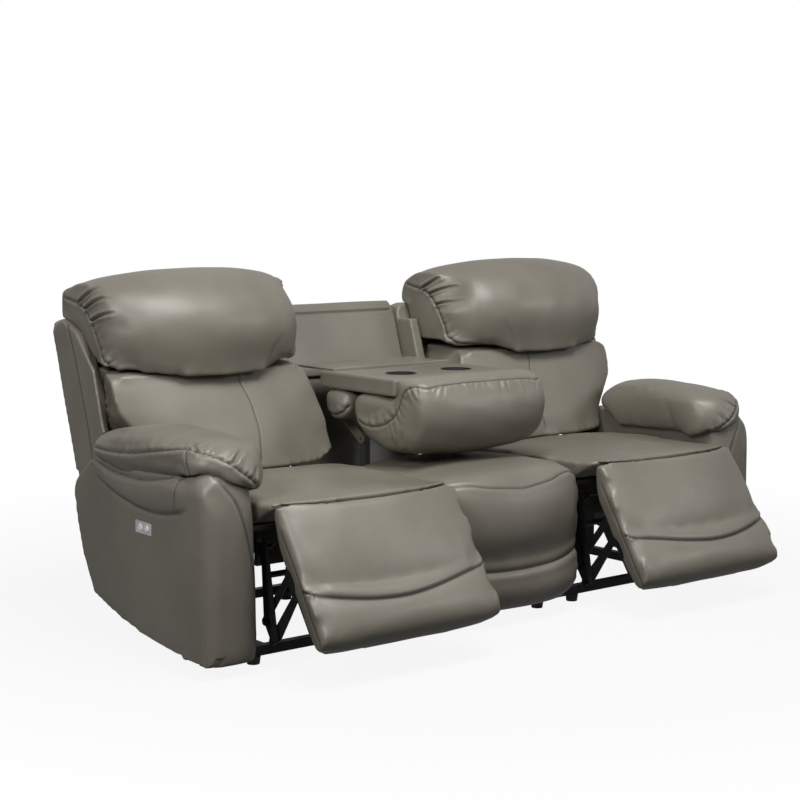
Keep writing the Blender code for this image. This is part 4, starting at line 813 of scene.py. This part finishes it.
def makeHeadPillow(settings):
    seams = [settings["gusset"], otherEnd(settings["gusset"]), settings["under"]]
    hide = Hide(coverFrom("left_head_pillow", settings, seams))
    for k, ends in enumerate((list, otherEnd)):
        gusset = hide.seam(ends(settings["gusset"]), 0.003, 0.0035, 0.0012)
        for n, fold in enumerate(settings["folds"]):
            hide.crease(ends(fold), 0.012 - 0.001 * n, 0.0038, 1.2, 0.55, 1.0)
        hide.gathers(gusset, (-0.66, 0.25, 0.85), 6, 0.05, 0.0022, 0.0042, 11 + k, (0.5, 0.95), 0.12)
        hide.gathers(gusset, (-0.66, 0.25, 0.98), 5, 0.05, 0.0016, 0.005, 21 + k, (0.12, 0.5), 0.05)
    under = hide.seam(settings["under"], 0.003, 0.0035, 0.0015)
    hide.gathers(under, (-0.66, 0.2, 0.84), 12, 0.03, 0.0009, 0.005, 31, (0.0, 1.0), 0.05)
    hide.ripples(0.16, settings["ripple"], 3)
    bothSides(hide.finish(), "head_pillow", "SIDE_back", leather)
    print("head pillows made")


makeHeadPillow(headPillow)


# Lumbar cushions

lumbarCushion = {
    "voxel": 0.007,
    "crisp": 40,
    "edge": 0.014,
    "smooth": 70,
    "even": 26,
    "fill": 0.75,
    "pulls": [
        ([(-0.99, 0.29, 0.74), (-0.985, 0.285, 0.66)], 0.045, (-0.010, 0, 0)),
        ([(-0.955, 0.35, 0.61), (-0.965, 0.33, 0.64)], 0.05, (-0.024, 0, 0)),
        ([(-0.33, 0.26, 0.76), (-0.31, 0.23, 0.70), (-0.29, 0.20, 0.62)], 0.05, (0.022, 0, 0)),
        ([(-0.93, 0.20, 0.49), (-0.66, 0.145, 0.485), (-0.36, 0.165, 0.485)], 0.035, (0, 0, -0.017)),
    ],
    "side": [
        (-0.987, 0.393, 0.762), (-0.987, 0.389, 0.713), (-0.983, 0.37, 0.672), (-0.971, 0.362, 0.634),
        (-0.956, 0.385, 0.598), (-0.93, 0.35, 0.54), (-0.905, 0.33, 0.49),
    ],
    "centre": [
        (-0.6, 0.25, 0.775), (-0.597, 0.242, 0.728), (-0.58, 0.216, 0.671), (-0.575, 0.18, 0.598),
        (-0.585, 0.151, 0.532), (-0.59, 0.17, 0.483),
    ],
    "ripple": 0.0011,
}


def makeLumbarCushion(settings):
    hide = Hide(coverFrom("left_lumbar_cushion", settings, [settings["side"], settings["centre"]]))
    side = hide.seam(settings["side"], 0.003, 0.004, 0.0012)
    hide.seam(settings["centre"], 0.0012, 0.004, 0.0002)
    hide.gathers(side, (-0.66, 0.2, 0.65), 9, 0.07, 0.0026, 0.006, 41, (0.1, 0.9), 0.1)
    hide.ripples(0.2, settings["ripple"], 5)
    bothSides(hide.finish(), "lumbar_cushion", "SIDE_back", leather)
    print("lumbar cushions made")


makeLumbarCushion(lumbarCushion)


# Seat cushions of the two reclining seats

seatCushion = {
    "voxel": 0.0075,
    "crisp": 40,
    "smooth": 50,
    "even": 24,
    "pulls": [([(-0.88, 0.17, 0.46), (-0.66, 0.15, 0.46), (-0.34, 0.15, 0.46)], 0.05, (0, 0, 0.005))],
    "fill": 0.7,
    "drawn": 0.003,
    "front": [
        (-0.905, -0.36, 0.462), (-0.893, -0.385, 0.462), (-0.8, -0.405, 0.455), (-0.68, -0.408, 0.442),
        (-0.576, -0.408, 0.436), (-0.486, -0.405, 0.438), (-0.401, -0.404, 0.455), (-0.31, -0.38, 0.468),
    ],
    "ripple": 0.0015,
}


def makeSeatCushion(settings):
    hide = Hide(coverFrom("left_seat_cushion", settings, [settings["front"]]))
    hide.seam(settings["front"], 0.002, 0.004, 0.001)
    hide.ripples(0.22, settings["ripple"], 7)
    bothSides(hide.finish(), "seat_cushion", "base", leather)
    print("seat cushions made")


makeSeatCushion(seatCushion)


# Footrest pads: crowned upper panel, a curved tuck and a roll below it

footrestPad = {
    "voxel": 0.007,
    "crisp": 48,
    "edge": 0.012,
    "smooth": 60,
    "even": 26,
    "fill": 0.8,
    "tuck": [
        (-0.912, -0.512, 0.255), (-0.907, -0.538, 0.256), (-0.865, -0.556, 0.245), (-0.786, -0.576, 0.232),
        (-0.701, -0.589, 0.224), (-0.606, -0.593, 0.222), (-0.51, -0.583, 0.23), (-0.394, -0.561, 0.246),
        (-0.306, -0.54, 0.257), (-0.296, -0.52, 0.26),
    ],
    "side": [
        (-0.911, -0.41, 0.40), (-0.912, -0.46, 0.33), (-0.912, -0.512, 0.25), (-0.911, -0.56, 0.17),
        (-0.905, -0.6, 0.11),
    ],
    "pulls": [
        ([(-0.908, -0.41, 0.44)], 0.04, (-0.006, 0.016, 0.010)),
        ([(-0.86, -0.42, 0.452), (-0.6, -0.452, 0.446), (-0.34, -0.41, 0.452)], 0.018, (0, 0.002, 0.006)),
        ([(-0.299, -0.392, 0.448)], 0.03, (0.004, 0.006, 0.012)),
        ([(-0.905, -0.61, 0.11)], 0.03, (-0.004, -0.002, -0.004)),
        ([(-0.302, -0.61, 0.11)], 0.03, (0.004, -0.002, -0.004)),
    ],
    "half": 0.302,  # half the width
    "swell": 0.014,  # above the tuck
    "roll": 0.006,  # below it
    "frontZ": (0.1, 0.45),
    "frontY": (-0.615, -0.43),
    "slant": 0.12,
    "ripple": 0.0008,
}


def makeFootrestPad(settings):
    hide = Hide(coverFrom("left_footrest_pad", settings, [settings["tuck"]]))
    x, y, z = hide.points.T
    # the upper panel swells over the tuck, and the roll below it starts in its shade
    path = onSurface(hide.tree, smoothPath(settings["tuck"]))
    above = z - np.interp(x, path[:, 0], path[:, 2])
    across = x - padMiddle
    inside = unit((settings["half"] - np.abs(across)) / 0.07)
    inside = inside * inside * (3 - 2 * inside) * unit(-hide.normals[:, 1] / 0.4)
    up, down = np.maximum(above, 0), np.maximum(-above, 0)
    hide.move += inside * settings["swell"] * (1 - np.exp(-up / 0.008)) * bell(up, 0.075)
    hide.move += inside * settings["roll"] * (1 - np.exp(-down / 0.022)) * bell(down, 0.07)
    tuck = hide.seam(settings["tuck"], 0.003, 0.004, 0)
    # painted shade along the tuck, where the swelling panel above shades it
    hide.paintShade(0.75 * bell(hide.across, 0.005))
    hide.seam(settings["side"], 0.0012, 0.004, 0.0004)
    hide.seam(otherEnd(settings["side"], padMiddle), 0.0012, 0.004, 0.0004)
    hide.gathers(tuck, (-0.85, -0.58, 0.18), 4, 0.025, 0.003, 0.004, 51, (0.0, 0.07), 0.3)
    hide.gathers(tuck, (-0.35, -0.56, 0.18), 3, 0.02, 0.002, 0.004, 52, (0.94, 1.0), 0.2)
    # the sides slant in behind the front, so the edge of the front is what shows
    depth = np.clip(y - np.interp(z, settings["frontZ"], settings["frontY"]), 0, 0.09)
    x -= np.sign(across) * unit((np.abs(across) - 0.24) / 0.05) * settings["slant"] * depth
    hide.ripples(0.2, settings["ripple"], 9)
    bothSides(hide.finish(), "footrest_pad", "SIDE_footrest", leather)
    print("footrest pads made")


makeFootrestPad(footrestPad)


# Arms: upholstered sides with a padded band under the arm pad and a rolled front

arm = {
    "voxel": 0.008,
    "crisp": 40,
    "edge": 0.010,
    "smooth": 40,
    "proud": 0.003,
    "pulls": [
        ([(-1.09, -0.21, 0.04), (-1.09, -0.30, 0.04)], 0.018, (0.0, 0.0, 0.022)),
        ([(-1.075, -0.18, 0.545), (-1.075, -0.28, 0.545)], 0.022, (-0.008, 0, 0.004)),
    ],
    # the flat side runs out to the front roll, and turns the corner in a short curve
    "planY": (-0.338, -0.332, -0.322, -0.305, -0.28, -0.20, -0.10, 0.0, 0.10),
    "planX": (-1.052, -1.070, -1.084, -1.0925, -1.0945, -1.0938, -1.0895, -1.084, -1.0812),
    "ridge": [
        (-1.08, 0.277, 0.487), (-1.08, 0.175, 0.452), (-1.08, 0.055, 0.428), (-1.08, -0.081, 0.424),
        (-1.085, -0.2, 0.443), (-1.089, -0.25, 0.462),
    ],
    "upper": [
        (-1.08, 0.286, 0.53), (-1.08, 0.172, 0.510), (-1.08, 0.072, 0.505), (-1.08, -0.026, 0.51),
        (-1.08, -0.159, 0.533),
    ],
    "fascia": [
        (-1.062, -0.174, 0.548), (-1.055, -0.25, 0.553), (-1.03, -0.31, 0.52), (-0.998, -0.336, 0.475),
        (-0.975, -0.337, 0.42), (-0.957, -0.334, 0.36), (-0.942, -0.328, 0.30), (-0.922, -0.315, 0.22),
        (-0.912, -0.312, 0.12),
    ],
    "post": [(-1.088, -0.20, 0.545), (-1.094, -0.197, 0.50), (-1.094, -0.192, 0.455)],
    "flatX": -1.035,
    "band": 0.012,
    "ripple": 0.0006,
}


def makeArm(settings):
    piece = coverFrom("left_arm", settings)
    # no step where the flat side meets the front roll
    points = pointsOf(piece)
    x, y, z = points.T
    flat = (x < settings["flatX"]) & (y < settings["planY"][-1])
    more = np.maximum(x - np.interp(y, settings["planY"], settings["planX"]), 0)
    more *= unit((0.545 - z) / 0.04) * unit((settings["planY"][-1] - y) / 0.06)
    more[more > 0.022] = 0
    points[flat, 0] -= more[flat]
    setPoints(piece, points)
    smoothed(piece, 6, 0.4 * flat * unit((z - 0.09) / 0.03))
    smoothed(piece, 30, 0.5 * unit((-0.19 - y) / 0.04) * unit((z - 0.43) / 0.05))
    hide = Hide(piece)
    x, y, z = hide.points.T
    outer = unit((-hide.normals[:, 0] - 0.4) / 0.3)
    ridge = smoothPath(settings["ridge"])
    top = smoothPath(settings["upper"])
    ridgeZ = np.interp(y, ridge[::-1, 1], ridge[::-1, 2])
    topZ = np.interp(y, top[::-1, 1], top[::-1, 2])
    rise = unit((z - ridgeZ) / np.maximum(topZ - ridgeZ, 0.02))
    band = outer * unit((y + 0.245) / 0.05) * unit((0.285 - y) / 0.08)
    # a stuffed band rolls out over the plain lower panel
    hide.move += band * settings["band"] * np.sqrt(np.sin(math.pi * rise).clip(0))
    distance, _ = distanceTo(hide.points, onSurface(hide.tree, ridge), 0.1)
    hide.move -= band * 0.004 * bell(distance, 0.008)
    # painted shade along the ridge, under the band that rolls out over it
    hide.paintShade(0.40 * band * bell(distance, 0.009))
    hide.seam(settings["fascia"], 0.0018, 0.004, 0.0006, sewn=True)
    hide.seam(settings["upper"], 0.0025, 0.004, 0.001)
    hide.seam(settings["post"], 0.002, 0.004, 0.0006)
    hide.ripples(0.3, settings["ripple"], 13)
    bothSides(hide.finish(), "arm", "base", matchLeather)
    print("arms made")


makeArm(arm)


# Arm pads

armPad = {
    "voxel": 0.006,
    "smooth": 60,
    "even": 20,
    "underY": (-0.34, -0.30, -0.25, -0.20, -0.153, -0.068, 0.0, 0.118, 0.20, 0.256),
    "underUp": (0.0, 0.006, 0.019, 0.008, -0.009, -0.020, -0.026, -0.029, -0.018, -0.005),
    "hang": 0.042,
    "fill": 0.7,
    "drawn": 0.005,
    "proud": 0.010,
    "side": [
        (-1.091, 0.253, 0.571), (-1.093, 0.156, 0.57), (-1.094, 0.045, 0.578), (-1.094, -0.052, 0.593),
        (-1.093, -0.145, 0.608), (-1.081, -0.218, 0.62), (-1.072, -0.256, 0.615), (-1.048, -0.298, 0.605),
        (-1.011, -0.334, 0.582), (-0.968, -0.347, 0.548), (-0.903, -0.303, 0.503),
    ],
    "post": [(-1.081, -0.225, 0.619), (-1.092, -0.247, 0.562), (-1.085, -0.25, 0.53)],
    "folds": [
        [(-1.072, -0.256, 0.615), (-1.06, -0.23, 0.63), (-1.047, -0.198, 0.640)],
        [(-1.007, -0.334, 0.584), (-0.98, -0.32, 0.605), (-0.95, -0.304, 0.620)],
    ],
    "ripple": 0.0012,
}


def makeArmPad(settings):
    piece = coverFrom("left_arm_pad", settings, [settings["side"]])
    # the underside hangs over the arm behind, and lifts over the front roll
    points = pointsOf(piece)
    x, y, z = points.T
    lift = np.interp(y, settings["underY"], settings["underUp"])
    z += lift * unit((0.590 - z) / 0.055) * unit((-1.045 - x) / 0.03)
    # on the side of the seat it hangs down to the cushion
    inner = unit((x + 0.915) / 0.015) * unit((0.16 - y) / 0.06) * unit((y + 0.30) / 0.06)
    z -= settings["hang"] * inner * unit((0.60 - z) / 0.06)
    # the lower half is as full as the upper
    x -= 0.004 * bell(z - 0.556, 0.02) * unit((-1.08 - x) / 0.01) * (y > -0.22)
    setPoints(piece, points)
    hide = Hide(piece)
    side = hide.seam(settings["side"], 0.003, 0.0035, 0.0014)
    hide.seam(settings["post"], 0.002, 0.0035, 0.0008)
    for fold in settings["folds"]:
        hide.crease(fold, 0.007, 0.0045, 1.5, 0.6, 0.7)
    hide.gathers(side, (-0.98, -0.05, 0.66), 12, 0.08, 0.0022, 0.007, 61, (0.15, 0.62), 0.05)
    hide.gathers(side, (-0.95, -0.2, 0.66), 14, 0.05, 0.0028, 0.0045, 62, (0.62, 1.0), 0.15)
    hide.ripples(0.12, settings["ripple"], 15)
    bothSides(hide.finish(), "arm_pad", "base", leather)
    print("arm pads made")


makeArmPad(armPad)


# Fixed centre seat

def bothEnds(points):
    # a line that runs on as its own mirror image over the middle of the sofa
    return points + [(-x, y, z) for x, y, z in reversed(points) if x]


centreSeat = {
    "voxel": 0.0075,
    "crisp": 40,
    "smooth": 60,
    "even": 24,
    "fill": 0.75,
    "proud": 0.006,
    "front": bothEnds([
        (-0.282, -0.33, 0.455), (-0.238, -0.335, 0.452), (-0.178, -0.352, 0.443), (-0.125, -0.369, 0.433),
        (-0.023, -0.383, 0.423),
    ]),
    "tuck": bothEnds([
        (-0.282, -0.34, 0.205), (-0.2, -0.36, 0.186), (-0.126, -0.369, 0.176), (0.0, -0.375, 0.172),
    ]),
    "ripple": 0.0012,
}


def makeCentreSeat(settings):
    seams = [settings["front"], settings["tuck"]]
    hide = Hide(coverFrom("centre_seat_cushion", settings, seams, "centre_seat_leather"))
    hide.seam(settings["front"], 0.0025, 0.004, 0.001)
    hide.seam(settings["tuck"], 0.006, 0.006, 0.0025)
    hide.ripples(0.2, settings["ripple"], 17)
    dressed(hide.finish(), "centre_seat_cushion", "base", leather)
    print("centre seat made")


makeCentreSeat(centreSeat)


# Console: front pillow, rear roll, table and flap

consolePillow = {
    "voxel": 0.0055,
    "smooth": 70,
    "even": 12,
    "fill": 0.8,
    "drawn": 0.006,
    "proud": 0.004,
    "seam": bothEnds([
        (-0.252, 0.10, 0.597), (-0.256, 0.063, 0.587), (-0.257, 0.008, 0.588), (-0.257, -0.045, 0.605),
        (-0.257, -0.089, 0.639), (-0.257, -0.123, 0.699), (-0.254, -0.161, 0.724), (-0.23, -0.208, 0.733),
        (-0.178, -0.208, 0.737), (-0.037, -0.207, 0.740),
    ]),
    "ripple": 0.001,
}


def makeConsolePillow(settings):
    piece = coverFrom("console_pillow", settings, [settings["seam"]])
    # the front is shallower, and the underside a little higher, than the solid
    points = pointsOf(piece)
    points[:, 1] += 0.24 * np.maximum(-0.12 - points[:, 1], 0)
    points[:, 2] += 0.004 * unit((0.56 - points[:, 2]) / 0.06)
    setPoints(piece, points)
    hide = Hide(piece)
    seam = hide.seam(settings["seam"], 0.003, 0.0035, 0.0014)
    hide.gathers(seam, (0, -0.35, 0.62), 36, 0.06, 0.0020, 0.0045, 71, (0.12, 0.88), 0.08)
    hide.gathers(seam, (-0.24, 0.02, 0.66), 5, 0.05, 0.002, 0.006, 72, (0.03, 0.2), 0.08)
    hide.ripples(0.1, settings["ripple"], 19)
    dressed(hide.finish(), "console_pillow", "console", leather)
    print("console pillow made")


makeConsolePillow(consolePillow)

consoleRoll = {
    "voxel": 0.006,
    "smooth": 40,
    "pulls": [
        ([(-0.245, 0.20, 0.63)], 0.05, (-0.012, 0, 0)),
        ([(0.245, 0.20, 0.63)], 0.05, (0.012, 0, 0)),
    ],
    "fill": 0.6,
    "drawn": 0.005,
    "cap": 0.02,
    "proud": 0.003,
    "seam": [(-0.243, 0.275, 0.604), (-0.249, 0.211, 0.609), (-0.245, 0.165, 0.632)],
    "ripple": 0.001,
}


def makeConsoleRoll(settings):
    hide = Hide(coverFrom("console_roll", settings, [settings["seam"]]))
    for mirror in (1, -1):
        seam = hide.seam([(x * mirror, y, z) for x, y, z in settings["seam"]], 0.004, 0.004, 0.0018)
        hide.gathers(seam, (-0.24 * mirror, 0.22, 0.68), 5, 0.05, 0.0014, 0.005, 81, (0.0, 1.0), 0.1)
    hide.ripples(0.1, settings["ripple"], 23)
    dressed(hide.finish(), "console_roll", "console", leather)
    print("console roll made")


makeConsoleRoll(consoleRoll)


# Shells and other tight covers keep the solid's form, with seams and stitching

tightCover = {"voxel": 0.0085, "smooth": 5, "crisp": 30, "edge": 0.008, "proud": 0.002}


def makeTight(node, seams, pulls=()):
    hide = Hide(coverFrom(node, dict(tightCover, pulls=pulls)))
    for points, sewn in seams:
        hide.seam(points, 0.0022, 0.0035, 0.0009, sewn=sewn)
    hide.ripples(0.25, 0.0005, 29)
    return hide.finish()


backShell = {
    "side": [
        (-1.03, 0.52, 0.92), (-1.03, 0.47, 0.80), (-1.03, 0.42, 0.66), (-1.03, 0.38, 0.52),
        (-1.03, 0.36, 0.42),
    ],
    "pulls": [  # the wing thins towards its front edge
        (
            [(-0.99, 0.325, 0.50), (-0.99, 0.318, 0.65), (-0.99, 0.349, 0.75), (-0.99, 0.40, 0.86)],
            0.03,
            (-0.014, 0.034, 0),
        ),
    ],
}

seams = [(backShell["side"], True)]
shell = makeTight("left_back_shell", seams, backShell["pulls"])
bothSides(shell, "back_shell", "SIDE_back", leather)
print("back shells made")

centreBack = makeTight("centre_back_shell", [
    ([(0.262, 0.6, 0.90), (0.262, 0.56, 0.78), (0.262, 0.53, 0.68)], True),
    ([(-0.262, 0.6, 0.90), (-0.262, 0.56, 0.78), (-0.262, 0.53, 0.68)], True),
])
dressed(centreBack, "centre_back_shell", "base", leather)
recess = makeTight("recess_panel", [
    ([(-0.24, 0.575, 0.9), (0.001, 0.575, 0.9), (0.24, 0.575, 0.9)], True),
])
dressed(recess, "recess_panel", "base", leather)
print("centre back made")


# Console table and flap keep crisp edges, so they stay as the CAD made them, in leather

nodeMaterials = {
    "leather": leather,
    "black_steel": blackSteel,
    "satin_metal": satinMetal,
    "black_plastic": blackPlastic,
}

# nodes that get another material than their slot says: the deck's front is a leather apron,
# the centre frame stands behind dark cloth, and the switches are of grey plastic
ownMaterials = {"centre_seat_frame": darkCloth}
for side in ("left", "right"):
    ownMaterials[side + "_seat_deck"] = matchLeather
    ownMaterials[side + "_switch_plate"] = plateGrey
    ownMaterials[side + "_front_button"] = ownMaterials[side + "_rear_button"] = buttonGrey


def paintNodes():
    for name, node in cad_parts.items():
        if node.hide_render:
            continue
        old = node.data.materials[0].name
        material = ownMaterials.get(name) or next(
            nodeMaterials[slot] for slot in nodeMaterials if old.startswith(slot)
        )
        node.data.materials.clear()
        node.data.materials.append(material)


paintNodes()


# Floor, backdrop and lights

studio = {
    "floorColour": (0.05, 0.05, 0.05),
    "floorGlow": (0.90, 1.0),  # near the sofa, and from a few metres away
    "floorMirror": 0.20,  # how bright the floor is in a glossy surface
    "skyMirror": 0.42,  # and the backdrop
    "skyDiffuse": 0.055,
    "lights": [
        # name, place, aims at, width, height, watts
        ("top", (-0.6, -1.6, 3.8), (0, 0, 0.5), 2.4, 1.4, 138),
        ("front", (-3.0, -4.6, 3.2), (0, 0, 0.6), 1.4, 1.2, 15),
        ("right", (3.4, -4.0, 2.6), (0, 0, 0.7), 1.4, 1.2, 34),
        ("left", (-4.4, -1.8, 3.2), (0, 0, 0.5), 1.4, 1.4, 108),
    ],
}


def seenShare(tree, mirror):
    # one for what the camera sees, and less in a glossy surface
    path = addNode(tree, "ShaderNodeLightPath")
    glossy = sums(tree, "MULTIPLY", path.outputs["Is Glossy Ray"], mirror)
    seen = sums(tree, "MAXIMUM", path.outputs["Is Camera Ray"], glossy)
    return sums(tree, "MAXIMUM", seen, path.outputs["Is Transmission Ray"])


def makeStudio(settings):
    bpy.ops.mesh.primitive_plane_add(size=30, location=(0, 0, 0))
    floor = bpy.context.object
    floor.name = "floor"
    material = bpy.data.materials.new("floor")
    material.use_nodes = True
    tree = material.node_tree
    tree.nodes.clear()
    out = addNode(tree, "ShaderNodeOutputMaterial")
    matt = addNode(tree, "ShaderNodeBsdfDiffuse")
    matt.inputs["Color"].default_value = (*settings["floorColour"], 1)
    glow = addNode(tree, "ShaderNodeEmission")
    seen = seenShare(tree, settings["floorMirror"])
    place = addNode(tree, "ShaderNodeTexCoord").outputs["Object"]
    far = addNode(tree, "ShaderNodeVectorMath", operation="LENGTH")
    tree.links.new(place, far.inputs[0])
    level = ramp(tree, far.outputs["Value"], 1.3, 3.2, *settings["floorGlow"])
    tree.links.new(sums(tree, "MULTIPLY", seen, level), glow.inputs["Strength"])
    both = addNode(tree, "ShaderNodeAddShader")
    tree.links.new(matt.outputs[0], both.inputs[0])
    tree.links.new(glow.outputs[0], both.inputs[1])
    tree.links.new(both.outputs[0], out.inputs["Surface"])
    floor.data.materials.append(material)

    world = bpy.data.worlds.new("studio")
    scene.world = world
    world.use_nodes = True
    tree = world.node_tree
    tree.nodes.clear()
    out = addNode(tree, "ShaderNodeOutputWorld")
    sky = addNode(tree, "ShaderNodeBackground")
    sky.inputs["Color"].default_value = (1, 1, 1, 1)
    seen = seenShare(tree, settings["skyMirror"])
    tree.links.new(ramp(tree, seen, 0, 1, settings["skyDiffuse"], 1.0), sky.inputs["Strength"])
    tree.links.new(sky.outputs[0], out.inputs["Surface"])

    for name, place, aim, width, height, watts in settings["lights"]:
        data = bpy.data.lights.new(name, "AREA")
        data.shape = "RECTANGLE"
        data.size, data.size_y = width, height
        data.energy = watts
        lamp = bpy.data.objects.new(name, data)
        scene.collection.objects.link(lamp)
        lamp.location = place
        lamp.rotation_euler = (Vector(aim) - Vector(place)).to_track_quat("-Z", "Y").to_euler()


makeStudio(studio)
print("studio made")
